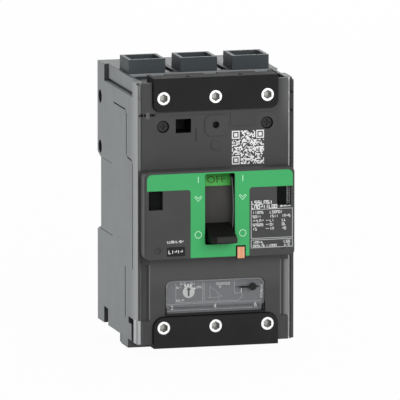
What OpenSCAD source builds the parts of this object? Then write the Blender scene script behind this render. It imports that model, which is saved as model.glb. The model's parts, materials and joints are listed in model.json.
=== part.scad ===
// Three-pole molded case circuit breaker, in millimetres.
// X runs to the right, depth runs forward from the mounting plane (-Y), Z runs up from mid height.
// The handle stands in its lower (off) place, and the contacts are open.

/* [Case] */
// Spacing of the poles, three of which make the width
pole_pitch = 27; // [26:0.5:32]
// Height of the case without collars and skirts
case_h = 133; // [130:1:150]
// Depth of the base from the mounting plane to its front rim
base_d = 77.5; // [76:0.5:86]
// Thickness of the side walls
side_wall = 3.5; // [3.3:0.1:4]
// Thickness of the top and bottom plates
end_wall = 1.5; // [1.2:0.1:2]
// Thickness of the rear wall
rear_wall = 2.5; // [2:0.1:3.5]
// Thickness of the walls between the poles
partition_t = 1.6; // [1.2:0.1:2]
// Drop of the foot below the case
foot_h = 4.7; // [2:0.1:5]
// Diameter of the round recesses at the rear of the sides
side_hole_d = 6.8; // [5:0.1:7]
// Depth of the side recesses beside the terminals
side_recess = 2; // [1:0.1:2.2]

/* [Rail and mounting] */
// Height of the mounting rail
rail_h = 35; // [35:0.5:36]
// Depth of the rail groove
rail_groove_d = 7; // [6:0.5:7.5]
// Widening of the groove at its mouth
rail_flare = 2; // [1:0.1:2.4]
// Width of the rail latch
latch_w = 16; // [12:0.5:18]
// Travel of the rail latch
latch_travel = 4; // [3:0.5:5]
// Height between the mounting holes
mount_span = 111; // [106:0.5:114]
// Diameter of the thread in the mounting inserts
mount_thread_d = 4; // [3:0.5:4]

/* [Terminals] */
// Distance of the terminal screws from the case ends
screw_inset = 8.1; // [7.5:0.1:8.5]
// Diameter of the terminal screw heads
screw_head_d = 6.6; // [6.2:0.1:7]
// Diameter of the terminal screw threads
screw_d = 6; // [5:0.1:6]
// Width across the flats of the hexagon sockets
hex_af = 4; // [3:0.5:5]
// Width of the terminal blocks
shield_w = 64.6; // [60:0.2:66]
// Reach of the terminal blocks behind the cover's face
shield_d = 20; // [17:0.5:21]
// Reach of the blocks' full-height front part behind the cover's face
shield_front_d = 12; // [8:0.5:15]
// Reach of the upper terminal block below the case end
upper_shield_h = 14.5; // [13:0.5:15]
// Reach of the lower terminal block above the case end
lower_shield_h = 13.5; // [13:0.5:13.5]
// Depth of a cable collar, front to back
collar_d = 17.8; // [16:0.2:19]
// Distance of the collar centres from the mounting plane
collar_mid = 39; // [37:0.2:39]
// Height of the collars above the case ends
collar_rise = 7; // [4:0.5:10]
// Thickness of the collar walls
collar_wall = 1.8; // [1.2:0.1:2.2]
// Height of a lug
lug_h = 12; // [11:0.5:13]
// Thickness of the lug walls
lug_wall = 2.5; // [2:0.1:3]
// Width of the copper bars
bar_w = 10; // [8:0.5:10]
// Thickness of the copper bars
bar_t = 2.5; // [2:0.1:2.5]

/* [Cover and band] */
// Thickness of the front cover at its edge
cover_t = 2.5; // [2.2:0.1:3]
// Thickness of the cover's front wall
cover_wall = 1.8; // [1.5:0.1:1.8]
// Width of the raised rim down each side
rim_w = 1.4; // [1:0.1:2]
// Rise of the rims above the cover
rim_rise = 1.3; // [0.5:0.1:2]
// Width of the groove beside each rim
rim_groove_w = 1; // [0.6:0.1:1.4]
// Height of the fascia band
band_h = 44.8; // [44:0.2:47]
// Rise of the band above the cover
band_rise = 9.5; // [9:0.1:12]
// Thickness of the band's walls
band_wall = 2.2; // [1.8:0.1:2.4]
// Rounding of the band's side edges
band_round = 1.1; // [0.8:0.1:1.4]
// Width of the handle window
window_w = 15.6; // [14.6:0.1:15.8]
// Height of the handle window
window_h = 36; // [35:0.5:36.4]
// Height of the window's centre
window_z = 2.6; // [2:0.1:2.8]
// Thickness of the green bezel
bezel_t = 0.6; // [0.4:0.1:1]
// Diameter of the cover screw heads
cover_screw_d = 5.6; // [5:0.1:6]

/* [Handle] */
// Distance of the handle pivot behind the cover face
pivot_back = 30; // [29.8:0.1:32]
// Outer radius of the curved shutter
shutter_r = 33.4; // [32.5:0.1:33.5]
// Thickness of the shutter
shutter_t = 1.6; // [1.2:0.1:2]
// Width of the lever at its tip
lever_w = 13.2; // [11:0.2:13.6]
// Reach of the lever's tip from the pivot
lever_reach = 48.9; // [46:0.1:52]
// Swing of the handle from off to on
swing = 36; // [34:1:36]

/* [Settings] */
// Width of the settings opening
settings_w = 52.2; // [48:0.2:54]
// Height of the settings opening
settings_h = 17.1; // [16.9:0.1:18.5]
// Thickness of the clear flap
flap_t = 1.2; // [1:0.1:1.4]
// Diameter of the setting dial
dial_d = 6.2; // [5:0.2:7]
// Width of the trip button
button_w = 4.5; // [4:0.1:4.8]
// Travel of the trip button
button_travel = 1.5; // [1:0.1:1.5]

/* [Contacts] */
// Distance of the rotor axis from the mounting plane
rotor_d = 22; // [22:0.1:22.6]
// Radius of the rotor
rotor_r = 9; // [8.5:0.1:9.2]
// Radius of the rotor's journals
journal_r = 6; // [5:0.1:6]
// Distance of the contact tips from the rotor axis
contact_r = 13; // [12.8:0.1:13.2]
// Width of a contact bridge
bridge_w = 8; // [6:0.5:8]
// Thickness of a contact bridge
bridge_t = 3.5; // [3:0.1:3.5]
// Thickness of the moving contact tips
tip_t = 1.6; // [1:0.1:1.6]
// Thickness of the fixed contact tips
fixed_tip_t = 1.9; // [1.5:0.1:1.9]
// Distance of the crank pin from the rotor axis
crank_r = 14.5; // [14.2:0.1:15]
// Radius of the trip bar
trip_r = 2.5; // [2:0.1:2.6]

/* [Hidden] */
$fn = 64;
// Room between parts that stay still, that move, and that turn on a pin
fit = 0.25;
gap = 0.3;
run_fit = 0.05;
// Room round a pressed piece, and round one that drops in easily
press_fit = 0.02;
easy_fit = 0.15;
// Overlap of joined shapes, and of cuts past a face
join = 0.5;
past = 1;

// Case
half_w = 1.5 * pole_pitch;
half_h = case_h / 2;
in_w = half_w - side_wall;
in_h = half_h - end_wall;
pole_half = pole_pitch / 2 - side_wall;
part_x = pole_pitch / 2;
part_in = part_x - partition_t / 2;
inner_front = base_d - 19.5;
end_plate_d = collar_mid + collar_d / 2 + 1.7;

// Rail groove and latch
groove_half = rail_h / 2 + 0.5;
groove_floor = rail_groove_d + rear_wall;
hook_d = [rail_groove_d - 3.4, rail_groove_d - 1.4];
hook_reach = 2.2;
latch_top = -groove_half + 2.3;
latch_h = 24;
latch_neck_w = latch_w - 4;
latch_spring_len = 8 + latch_travel;
latch_foot = latch_top - latch_h;
channel_end = latch_foot - latch_spring_len;
insert_r = 3.25;
insert_len = 10;
tower_r = insert_r + 1.4;

// Terminals
screw_z = half_h - screw_inset;
collar_half = pole_half - 0.45;
collar_span = [collar_mid - collar_d / 2, collar_mid + collar_d / 2];
flange_t = 1.3;
flange_reach = 1;
flange_top = in_h - fit;
lug_top = flange_top - flange_t - gap;
lug_foot = lug_top - lug_h;
lug_half = pole_half - 1.5;
lug_span = [collar_mid - 9.5, collar_mid + 9.5];
shelf_top = lug_foot - fit;
shelf_t = 2;
shelf_foot = shelf_top - shelf_t;
tab_d = lug_span[0] + lug_wall;
run_foot = shelf_foot - 2 - bar_t;
pad_t = 2;
screw_tip = lug_span[1] - lug_wall - 2;
guide_r = screw_head_d / 2 + 1.2;

// Cover and band
cover_d = base_d + cover_t;
cover_back = cover_d - cover_wall;
groove_d = cover_d - 1.2;
rim_d = cover_d + rim_rise;
cover_z = [-half_h - 0.4, half_h - 0.2];
band_d = cover_d + band_rise;
band_half_w = half_w - rim_w - 0.1;
band_side_t = 1.1;
band_half_h = band_h / 2;
window_top = window_z + window_h / 2;
window_foot = window_z - window_h / 2;
window_corner_r = 1;
shield_half = shield_w / 2;
shield_back = cover_d - shield_d;
shield_wall = 2;
shield_front = cover_d + 2;
shield_rise = 2.2;
shield_step = half_h - 3.5;
upper_corner_r = 3.5;
lower_corner_r = 5.5;
cover_screw_z = shelf_foot - 5;
post_r = 3.6;
cover_shank_r = 1.45;
cover_screw_seat = cover_back - 0.7;
boss_x = 0.3;
well_x = [-20.5, -12.5];
well_z = [cover_screw_z - 3.5, cover_screw_z + 3.6];
well_floor = cover_d - 13;
well_wall = 1;
bezel_strip = [band_half_h - 9.5, band_half_h - 1.1];
bezel_leg = 15.3;
bezel_foot = -band_half_h + 0.6;
bezel_corner_r = 2.8;
shutter_window = [half_w - 10.9, half_w - 3.5];
shutter_window_z = [bezel_strip[0] - 9.8, bezel_strip[0] - 0.1];
plate_window = [-27.5, -18.2];
plate_window_z = [-20.6, -15.9];
plate_t = 0.6;

// Handle and trip button
pivot_d = cover_d - pivot_back;
pivot_r = 2;
yoke_x = [6.2, 7.3];
plate_x = [7.6, 9];
shutter_half = plate_x[1] - 0.2;
rest_tilt = 18;
yoke_reach = shutter_r - shutter_t - 0.2;
anchor_reach = 20;
anchor_r = 1.2;
button_x = 10.8;
button_z = [-band_half_h - 0.5, -16.7];
stem_z = -17.8;
stem_r = 1.2;
button_back = band_d - 3.5 - button_travel;
flag_t = 0.3;
flag_span = [18.3, 29.5];

// Settings panel
lower_edge = -(half_h - lower_shield_h);
settings_foot = lower_edge + 1.4;
settings_top = settings_foot + settings_h;
settings_half = settings_w / 2;
settings_corner_r = 4;
panel_span = [cover_back - gap - 2.5, cover_back - gap];
hinge_d = cover_back + 0.4;
hinge_z = settings_foot + 1.6;
barrel_r = 1.3;
barrel_half = settings_half - 2.8;
hinge_pin_r = 0.7;
flap_back = cover_d - flap_t;
dial_x = -settings_half + 12.75;
dial_z = settings_top - 6.5;

// Contacts and mechanism
drum_half = pole_half - 0.7;
tip_h = 6;
tip_x = about(0, bridge_w / 2 - 0.5);
bridge_reach = contact_r + tip_h / 2 + 0.5;
contact_gap = 0.25;
stack = bridge_t / 2 + tip_t + contact_gap + fixed_tip_t;
line_d = rotor_d - stack - bar_t;
load_d = rotor_d + stack;
bar_end = contact_r - 4.5;
bar_span = [-bar_w / 2, bar_w / 2];
spring_cap = 1;
spring_mean_r = 1.6;
crank_tilt = 4;
link_run = [pivot_d - rotor_d - 8, 6];
link_half = 2.4;
pin_r = 1.5;
ear_x = [5.3, 6.9];
ear_r = 2.6;
upper_link_x = [4.7, 5.9];
lower_link_x = [3, 4.3];
cradle_half = 2.4;
crank_at = [rotor_d + crank_r * cos(swing + crank_tilt), -crank_r * sin(swing + crank_tilt)];
fixed_pin_at = [rotor_d + link_run[0], link_run[1]];
knee_at = crank_at + link_run;
anchor_at = [pivot_d + anchor_reach * cos(rest_tilt), window_z - anchor_reach * sin(rest_tilt)];
cradle_pin_at = fixed_pin_at + [-3.5, 7];
trip_at = [rotor_d + 25, -27];
finger_half = 4;
finger_h = 11;
finger_t = 1.6;
frame_back = fixed_pin_at[0] - 6;
frame_ahead = 16;
frame_slope = 8;
frame_z = [-20, 16.5];
frame_foot_t = 1.5;
arm_half = 1.4;
chute_foot = bridge_reach + 1.5;
plate_foot = chute_foot + 2;
chute_wall_t = 0.8;
chute_half = pole_half - 0.5;
chute_top = shelf_foot - fit;
plate_half = chute_half - chute_wall_t - 0.1;
plate_top = run_foot - 1.5;
upper_chute = [rotor_d - 3, rotor_d + 24];
lower_chute = [groove_floor + 0.7, load_d - 3.5];
yoke_t = 1.4;
yoke_half = 7.4;
magnet_z = [-42, -31];
armature_span = [load_d + 11.1, load_d + 12.3];
armature_z = [-46, -31];

GREY = "#8c9094";
DARK = "#4c4c4c";
BLACK = "#222222";
GREEN = "#48b06b";
COPPER = "#b87333";
STEEL = "#a9adb0";
ZINC = "#e4e6e6";

// Range about a middle, and a range widened at both ends
function about(mid, half) = [mid - half, mid + half];
function widen(span, by) = [span[0] - by, span[1] + by];

// Box from ranges of width, depth and height
module block(x, d, z) {
    translate([x[0], -d[1], z[0]])
        cube([x[1] - x[0], d[1] - d[0], z[1] - z[0]]);
}

// Round bars across, front to back, and upright
module rod_x(x, at, r) {
    translate([x[0], -at[0], at[1]])
        rotate([0, 90, 0])
            cylinder(h = x[1] - x[0], r = r);
}

module rod_y(x, d, z, r) {
    translate([x, -d[0], z])
        rotate([90, 0, 0])
            cylinder(h = d[1] - d[0], r = r);
}

module rod_z(x, d, z, r) {
    translate([x, -d, z[0]])
        cylinder(h = z[1] - z[0], r = r);
}

// Outline in width and height, given a depth
module front_outline(d) {
    translate([0, -d[0], 0])
        rotate([90, 0, 0])
            linear_extrude(d[1] - d[0])
                children();
}

// Outline in Y and Z, given a width
module side_outline(x) {
    translate([x[0], 0, 0])
        rotate([90, 0, 90])
            linear_extrude(x[1] - x[0])
                children();
}

// Outline in X and Y, given a height
module top_outline(z) {
    translate([0, 0, z[0]])
        linear_extrude(z[1] - z[0])
            children();
}

// Rectangle with round corners, from ranges of width and height
module round_rect(x, z, r) {
    translate([x[0] + r, z[0]])
        square([x[1] - x[0] - 2 * r, z[1] - z[0]]);
    translate([x[0], z[0] + r])
        square([x[1] - x[0], z[1] - z[0] - 2 * r]);
    for (cx = [x[0] + r, x[1] - r], cz = [z[0] + r, z[1] - r])
        translate([cx, cz])
            circle(r);
}

// Rectangle with its two lower corners round
module tongue(half, z, r) {
    translate([-half, z[0] + r])
        square([2 * half, z[1] - z[0] - r]);
    translate([-half + r, z[0]])
        square([2 * half - 2 * r, r + join]);
    for (side = [-1, 1])
        translate([side * (half - r), z[0] + r])
            circle(r);
}

// Section with its two front edges round, in width and Y
module front_rounded(half, d, r) {
    translate([-half, -d[1] + r])
        square([2 * half, d[1] - d[0] - r]);
    translate([-half + r, -d[1]])
        square([2 * half - 2 * r, r + join]);
    for (side = [-1, 1])
        translate([side * (half - r), -d[1] + r])
            circle(r);
}

module both_sides() {
    children();
    mirror([1, 0, 0])
        children();
}

module both_ends() {
    children();
    mirror([0, 0, 1])
        children();
}

module at_poles() {
    for (pole = [-1:1])
        translate([pole * pole_pitch, 0, 0])
            children();
}

// The rotor's own frame, drawn with the contacts closed and turned open
module at_rotor() {
    translate([0, -rotor_d, 0])
        rotate([swing, 0, 0])
            children();
}

// The handle's own frame, with its middle line forward
module at_handle(tilt) {
    translate([0, -pivot_d, window_z])
        rotate([tilt, 0, 0])
            children();
}

// Stretch of the shutter's circle between two angles above the horizontal
module shutter_arc(half, r, span) {
    translate([-half, -pivot_d, window_z])
        rotate([90, 0, 90])
            rotate([0, 0, 180 - span[1]])
                rotate_extrude(angle = span[1] - span[0])
                    translate([r[0], 0])
                        square([r[1] - r[0], 2 * half]);
}

// Link plate between two points in depth and height, with an eye at each end
module link_plate(x, from, to, half, hole) {
    run = to - from;
    waist = 0.4;
    difference() {
        union() {
            translate([0, -from[0], from[1]])
                rotate([atan2(-run[1], run[0]), 0, 0])
                    block(x, [0, norm(run)], about(0, half - waist));
            rod_x(x, from, half);
            rod_x(x, to, half);
        }
        for (eye = [from, to])
            rod_x([x[0] - past, x[1] + past], eye, hole);
    }
}

// Round wire wound along Z
coil_sides = 6;
coil_rings = 8;
module coil(length, mean_r, wire_r, turns) {
    rings = turns * coil_rings;
    rise = (length - 2 * wire_r) / rings;
    slope = atan2(rise * coil_rings, 2 * PI * mean_r);
    points = [
        for (i = [0:rings], j = [0:coil_sides - 1])
            let (
                turn = 360 * i / coil_rings,
                around = 360 * j / coil_sides,
                out = mean_r + wire_r * cos(around),
                up = wire_r * sin(around)
            )
            [
                out * cos(turn) + up * sin(slope) * sin(turn),
                out * sin(turn) - up * sin(slope) * cos(turn),
                wire_r + rise * i + up * cos(slope)
            ]
    ];
    side_faces = [
        for (i = [0:rings - 1], j = [0:coil_sides - 1], half = [0, 1])
            let (
                a = i * coil_sides + j,
                b = i * coil_sides + (j + 1) % coil_sides,
                c = a + coil_sides,
                e = b + coil_sides
            )
            half == 0 ? [a, b, e] : [a, e, c]
    ];
    start_faces = [for (j = [1:coil_sides - 2]) [0, j + 1, j]];
    last = rings * coil_sides;
    end_faces = [for (j = [1:coil_sides - 2]) [last, last + j, last + j + 1]];
    polyhedron(points, concat(side_faces, start_faces, end_faces));
}

// Base

module base_shell() {
    foot_d = [end_plate_d - 1.6, base_d - 16.2];
    difference() {
        union() {
            block([-half_w, half_w], [0, base_d], [-half_h, half_h]);
            block([-half_w, -pole_pitch], foot_d, [-half_h - foot_h, -half_h + join]);
        }
        block([-in_w, in_w], [rear_wall, base_d + past], [-in_h, in_h]);
    }
}

module base_walls() {
    wall_foot = rear_wall - join;
    inside = about(0, in_w + join);
    post_d = [inner_front - 11, cover_back - 3.5];
    block(inside, [wall_foot, groove_floor], about(0, groove_half + rail_flare + rear_wall));
    block(about(0, latch_w / 2 + 3), [wall_foot, rail_groove_d + 1.5], [channel_end - 3, -groove_half]);
    both_sides() {
        block([part_in, part_in + partition_t], [wall_foot, inner_front], [-in_h - join, in_h + join]);
        block([in_w - 4, in_w + join], [wall_foot, 10], [groove_half, half_h - 10]);
    }
    both_ends() {
        block(inside, [wall_foot, inner_front], [shelf_foot, shelf_top]);
        both_sides() {
            block(about(part_x, 2.5), [wall_foot, end_plate_d], [shelf_top - join, in_h + join]);
            rod_y(part_x, [wall_foot, insert_len + 3], mount_span / 2, tower_r);
        }
    }
    both_sides() {
        rod_y(pole_pitch, post_d, cover_screw_z, post_r);
        block(about(pole_pitch, 1.2), [post_d[0], inner_front], [cover_screw_z, shelf_foot + join]);
    }
}

// Line cut into the left side between two points in depth and height
module side_line(from, to) {
    run = to - from;
    line_w = abs(run[1]) > abs(run[0]) ? 1.6 : 0.8;
    line_deep = 1;
    translate([0, -from[0], from[1]])
        rotate([atan2(-run[1], run[0]), 0, 0])
            block([-half_w - past, -half_w + line_deep], [0, norm(run)], about(0, line_w / 2));
}

// Recess at the top of the left side
module side_pocket(d) {
    pocket_z = [half_h - 8.6, half_h + past];
    deep = [-half_w - past, -half_w + side_recess + 0.6];
    block([deep[0], -half_w + side_recess], d, pocket_z);
    block(deep, d, [pocket_z[0], pocket_z[0] + 1.6]);
    block(deep, [d[0], d[0] + 2], pocket_z);
}

module side_cuts() {
    deep = [-half_w - past, -half_w + side_recess + 0.6];
    block(deep, [12.7, 21.2], [-half_h - past, -half_h + 8.5]);
    slot_d = [base_d - 9.6, base_d - 5];
    slot_top = -half_h + 11.6;
    block(deep, slot_d, [-half_h - past, slot_top]);
    block(deep, [slot_d[0] - 5.9, slot_d[1]], [slot_top - 3.1, slot_top]);
    for (z = [half_h - 17.7, groove_half + 5])
        rod_x([-half_w - past, -half_w + 6], [5.2, z], side_hole_d / 2);
    corners = [
        [base_d - 44.7, half_h - 16.7], [base_d - 21.5, half_h - 16.7], [base_d - 19.3, half_h - 18.6],
        [base_d - 19.3, 27.4], [base_d - 17.2, 26], [base_d - 8.8, 25.6], [base_d - 7.4, 24.4],
        [base_d - 7.4, -29.7]
    ];
    for (i = [0:len(corners) - 2])
        side_line(corners[i], corners[i + 1]);
    side_line([base_d - 21.8, -30.3], [base_d - 21.8, -56.4]);
}

module rail_groove() {
    mouth = groove_half + rail_flare;
    floor_y = -rail_groove_d;
    slope_y = floor_y + 1.5;
    side_outline(about(0, half_w + past))
        polygon([
            [past, mouth], [0, mouth], [slope_y, groove_half], [floor_y, groove_half],
            [floor_y, -groove_half], [slope_y, -groove_half], [0, -mouth], [past, -mouth]
        ]);
}

module latch_channel() {
    channel_z = [channel_end, -groove_half + join];
    block(about(0, latch_w / 2 + gap), widen(hook_d, fit), channel_z);
    block(about(0, latch_neck_w / 2 + gap), [-past, hook_d[0]], channel_z);
}

module base_openings() {
    divider = [part_in - past, part_x + past];
    journal_cut = journal_r + easy_fit;
    trip_cut = trip_r + 0.2;
    shelf_cut = [shelf_foot - past, shelf_top + past];
    both_ends() {
        block([-in_w, in_w], [end_plate_d, base_d + past], [in_h - join, half_h + past]);
        both_sides() {
            block(about(part_x, 1.5), [6, end_plate_d - 2], [half_h - 8, half_h + past]);
            rod_y(part_x, [-past, insert_len + gap], mount_span / 2, insert_r + press_fit);
        }
        at_poles() {
            block(about(0, collar_half + fit), widen(collar_span, fit), [in_h - join, half_h + past]);
            block(widen(bar_span, fit), widen([tab_d, tab_d + bar_t], fit), shelf_cut);
        }
    }
    both_sides() {
        rod_x(divider, [rotor_d, 0], journal_cut);
        block(divider, [rotor_d, inner_front + past], about(0, journal_cut));
        rod_x(divider, trip_at, trip_cut);
        block(divider, [trip_at[0], inner_front + past], about(trip_at[1], trip_cut));
        rod_y(pole_pitch, [inner_front, cover_d], cover_screw_z, cover_shank_r + run_fit);
    }
}

module base() {
    color(GREY) {
        difference() {
            union() {
                base_shell();
                base_walls();
            }
            rail_groove();
            latch_channel();
            both_sides()
                side_cuts();
            side_pocket([13.5, base_d - 7]);
            mirror([1, 0, 0])
                side_pocket([end_plate_d + 0.4, base_d - 12.5]);
            base_openings();
        }
        both_sides()
            block([12, 25], hook_d, [groove_half - hook_reach, groove_half + join]);
    }
}

// Cover, band and front trim

module octagon(x, z) {
    cut = 2.2;
    polygon([
        [x[0] + cut, z[0]], [x[1] - cut, z[0]], [x[1], z[0] + cut], [x[1], z[1] - cut],
        [x[1] - cut, z[1]], [x[0] + cut, z[1]], [x[0], z[1] - cut], [x[0], z[0] + cut]
    ]);
}

module cover_shell() {
    corner = 0.8;
    face_half = half_w - rim_w - rim_groove_w;
    difference() {
        union() {
            front_outline([base_d, groove_d])
                round_rect(about(0, half_w), cover_z, corner);
            block(about(0, face_half), [base_d + join, cover_d], cover_z);
            both_sides()
                block([half_w - rim_w, half_w], [base_d + join, rim_d], widen(cover_z, -corner));
        }
        block([-in_w, in_w], [base_d - past, cover_back], [-in_h, in_h]);
    }
}

// Raised plates on the cover's upper face
module cover_relief() {
    relief = [cover_d - join, cover_d + 0.5];
    ledge = [cover_d - join, cover_d + 0.3];
    ledge_top = half_h - upper_shield_h - 0.8;
    front_outline(relief)
        octagon([-5.4, 6.4], [cover_screw_z - 5.6, cover_screw_z + 4.9]);
    intersection() {
        rod_y(boss_x, relief, cover_screw_z - 10.3, 2.5);
        block([-3, 3], widen(relief, past), [cover_screw_z - 13, cover_screw_z - 8.4]);
    }
    block([-31, 31], ledge, [ledge_top - 1.6, ledge_top]);
    block([8, 20.6], ledge, [cover_screw_z - 0.9, ledge_top - join]);
}

module cover_inside() {
    lip_d = [base_d - 5.5, cover_back + join];
    both_sides() {
        block([in_w - 1.8, in_w - fit], lip_d, [-shelf_foot, shelf_foot]);
        rod_y(pole_pitch, [cover_back - 3.2, cover_back + join], cover_screw_z, cover_screw_d / 2 + 1.6);
    }
    block(widen(well_x, well_wall), [well_floor - well_wall, cover_back + join], widen(well_z, well_wall));
    rod_y(boss_x, [cover_back - 4, cover_back + join], cover_screw_z, 3);
}

module cover_openings() {
    through = [base_d - past, cover_d + past];
    shield_cut = shield_half + gap;
    head_cut = cover_screw_d / 2 + easy_fit;
    front_outline(through)
        tongue(shield_cut, [half_h - upper_shield_h - gap, half_h + past], upper_corner_r + gap);
    mirror([0, 0, 1])
        front_outline(through)
            tongue(shield_cut, [half_h - lower_shield_h - gap, half_h + past], lower_corner_r + gap);
    block(about(0, shutter_half + 1.2), through, about(window_z, window_h / 2 + 1.6));
    mirror([0, 0, 1])
        front_outline(through)
            tongue(settings_half, [-settings_top, -settings_foot], settings_corner_r);
    rod_y(button_x, through, stem_z, stem_r + 0.2);
    block(well_x, [well_floor, cover_d + past], well_z);
    rod_y(boss_x, [cover_back - 3, cover_d + past], cover_screw_z, 1.8);
    both_sides() {
        rod_y(pole_pitch, [cover_screw_seat - 0.1, cover_d + past], cover_screw_z, head_cut);
        rod_y(pole_pitch, [cover_back - 4, cover_d], cover_screw_z, cover_shank_r + fit);
        rod_z(half_w - 4, cover_d + 0.9, [lower_edge - 1.8, -26], 2.2);
        for (z = [half_h - 7.3, half_h - 16.5])
            block([half_w - rim_w - past, half_w - 0.6], [groove_d, rim_d + past], about(z, 0.6));
    }
    for (slot = [[-39.1, -37.4], [-36.9, -35.9], [-34, -31.4]])
        block(slot, [cover_d - 1.2, rim_d + past], about(half_h - 16.5, 0.6));
    block([-10.4, -9.8], [cover_d - 0.5, cover_d + past], [cover_screw_z - 8, cover_screw_z - 1]);
}

module front_cover() {
    color(DARK)
        difference() {
            union() {
                cover_shell();
                cover_relief();
                cover_inside();
            }
            cover_openings();
        }
}

// Rounding in the corner between the bezel's strip and leg
module bezel_fillet() {
    r = 1.5;
    difference() {
        translate([-join, -r])
            square([r + join, r + join]);
        translate([r, -r])
            circle(r);
    }
}

module bezel_outline(slack) {
    strip = widen(bezel_strip, slack);
    leg = bezel_leg + slack;
    foot = bezel_foot - slack;
    difference() {
        union() {
            mirror([0, 1])
                tongue(band_half_w - band_round + slack, [-strip[1], -strip[0]], bezel_corner_r);
            translate([-leg, foot])
                square([2 * leg, strip[0] - foot + join]);
            both_sides()
                translate([leg, strip[0]])
                    bezel_fillet();
        }
        round_rect(about(0, window_w / 2 - slack), [window_foot + slack, window_top - slack], window_corner_r);
        translate([button_x - button_w / 2 - gap + slack, foot - past])
            square([button_w + 2 * (gap - slack), button_z[1] - foot + past + gap - slack]);
    }
}

module band_body() {
    intersection() {
        front_outline([cover_d, band_d])
            round_rect([-band_half_w, band_half_w], [-band_half_h, band_half_h], 3);
        top_outline([-band_half_h, band_half_h])
            front_rounded(band_half_w, [cover_d, band_d], band_round);
        side_outline([-band_half_w, band_half_w])
            rotate(-90)
                front_rounded(band_half_h, [cover_d, band_d], 0.8);
    }
}

module fascia_band() {
    front = band_d + past;
    notch_d = button_back - button_travel - gap;
    notch_z = [-band_half_h - past, button_z[1] + gap];
    dimple_r = 1.7;
    color(DARK)
        difference() {
            band_body();
            block(
                about(0, band_half_w - band_side_t),
                [cover_d - past, band_d - band_wall],
                about(0, band_half_h - band_wall)
            );
            front_outline([cover_d, front])
                round_rect(about(0, window_w / 2), [window_foot, window_top], window_corner_r);
            front_outline([band_d - bezel_t, front])
                bezel_outline(run_fit);
            both_sides() {
                front_outline([cover_d, front])
                    round_rect(shutter_window, shutter_window_z, 0.7);
                rod_y(half_w - 8.1, [band_d - 0.6, front], -17.7, dimple_r);
            }
            block(about(button_x, button_w / 2 + gap), [notch_d, front], notch_z);
            block(plate_window, [band_d - plate_t, front], plate_window_z);
        }
}

module green_bezel() {
    color(GREEN)
        front_outline([band_d - bezel_t, band_d + 0.05])
            bezel_outline(0);
}

module accessory_shutters() {
    shutter_d = [band_d - band_wall - 1.6, band_d - band_wall - 0.1];
    rim = 0.8;
    color(BLACK)
        both_sides()
            block(widen(shutter_window, rim), shutter_d, widen(shutter_window_z, rim));
}

module rating_plate() {
    color(BLACK)
        block(widen(plate_window, -0.1), [band_d - plate_t, band_d], widen(plate_window_z, -0.1));
}

// Terminals, drawn for the upper end

module terminal_block(height, corner) {
    foot = half_h - height;
    top = half_h + shield_rise;
    step_d = cover_d - shield_front_d;
    inside = about(0, shield_half - shield_wall);
    inside_front = shield_front - shield_wall;
    step_in = shield_step - shield_wall;
    top_z = [top - shield_wall - past, top + past];
    difference() {
        union() {
            difference() {
                union() {
                    front_outline([shield_back, shield_front])
                        tongue(shield_half, [foot, shield_step], corner);
                    front_outline([step_d, shield_front])
                        tongue(shield_half, [foot, top], corner);
                }
                block(inside, [shield_back - past, inside_front], [foot + shield_wall, step_in]);
                block(inside, [step_d + shield_wall, inside_front], [step_in - join, top - shield_wall]);
            }
            at_poles()
                rod_y(0, [lug_span[1] + 5, shield_front - 1], screw_z, guide_r);
        }
        at_poles() {
            rod_y(0, [lug_span[1], shield_front + past], screw_z, screw_head_d / 2 + easy_fit);
            block(about(0, 3.5), [step_d - past, step_d + 3.5], top_z);
        }
        for (side = [-1, 1])
            rod_z(side * part_x, step_d + 9.7, top_z, 1.4);
    }
}

module upper_terminal_block() {
    color(BLACK)
        terminal_block(upper_shield_h, upper_corner_r);
}

module lower_terminal_block() {
    color(BLACK)
        mirror([0, 0, 1])
            terminal_block(lower_shield_h, lower_corner_r);
}

module terminal_screw() {
    head_front = shield_front - 0.8;
    head_h = 6;
    socket_h = 3.5;
    difference() {
        union() {
            rod_y(0, [head_front - head_h, head_front], screw_z, screw_head_d / 2);
            rod_y(0, [screw_tip, head_front - head_h + join], screw_z, screw_d / 2);
        }
        translate([0, -head_front + socket_h, screw_z])
            rotate([90, 30, 0])
                cylinder(h = socket_h + past, r = hex_af / 2 / cos(30), $fn = 6);
    }
}

module line_terminal_screws() {
    color(ZINC)
        at_poles()
            terminal_screw();
}

module load_terminal_screws() {
    color(ZINC)
        mirror([0, 0, 1])
            at_poles()
                terminal_screw();
}

module collar() {
    outer = about(0, collar_half);
    top = half_h + collar_rise;
    difference() {
        union() {
            block(outer, collar_span, [flange_top - flange_t, top]);
            block(outer, widen(collar_span, flange_reach), [flange_top - flange_t, flange_top]);
        }
        block(widen(outer, -collar_wall), widen(collar_span, -collar_wall), [lug_top, top + past]);
    }
}

module line_collar(pole) {
    color("#3f4548")
        translate([pole * pole_pitch, 0, 0])
            collar();
}

module load_collar(pole) {
    mirror([0, 0, 1])
        line_collar(pole);
}

module lug() {
    outer = about(0, lug_half);
    difference() {
        block(outer, lug_span, [lug_foot, lug_top]);
        block(widen(outer, -lug_wall), widen(lug_span, -lug_wall), [lug_foot - past, lug_top + past]);
        rod_y(0, [lug_span[1] - lug_wall - past, lug_span[1] + past], screw_z, screw_d / 2 + run_fit);
    }
}

module line_lugs() {
    color(STEEL)
        at_poles()
            lug();
}

module load_lugs() {
    mirror([0, 0, 1])
        line_lugs();
}

module clamp_pads() {
    front = screw_tip - 0.1;
    pad_x = about(0, lug_half - lug_wall - fit);
    pad_z = [screw_z - 5, min(screw_z + 4.5, lug_top - gap)];
    color(ZINC)
        both_ends()
            at_poles()
                block(pad_x, [front - pad_t, front], pad_z);
}

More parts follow.
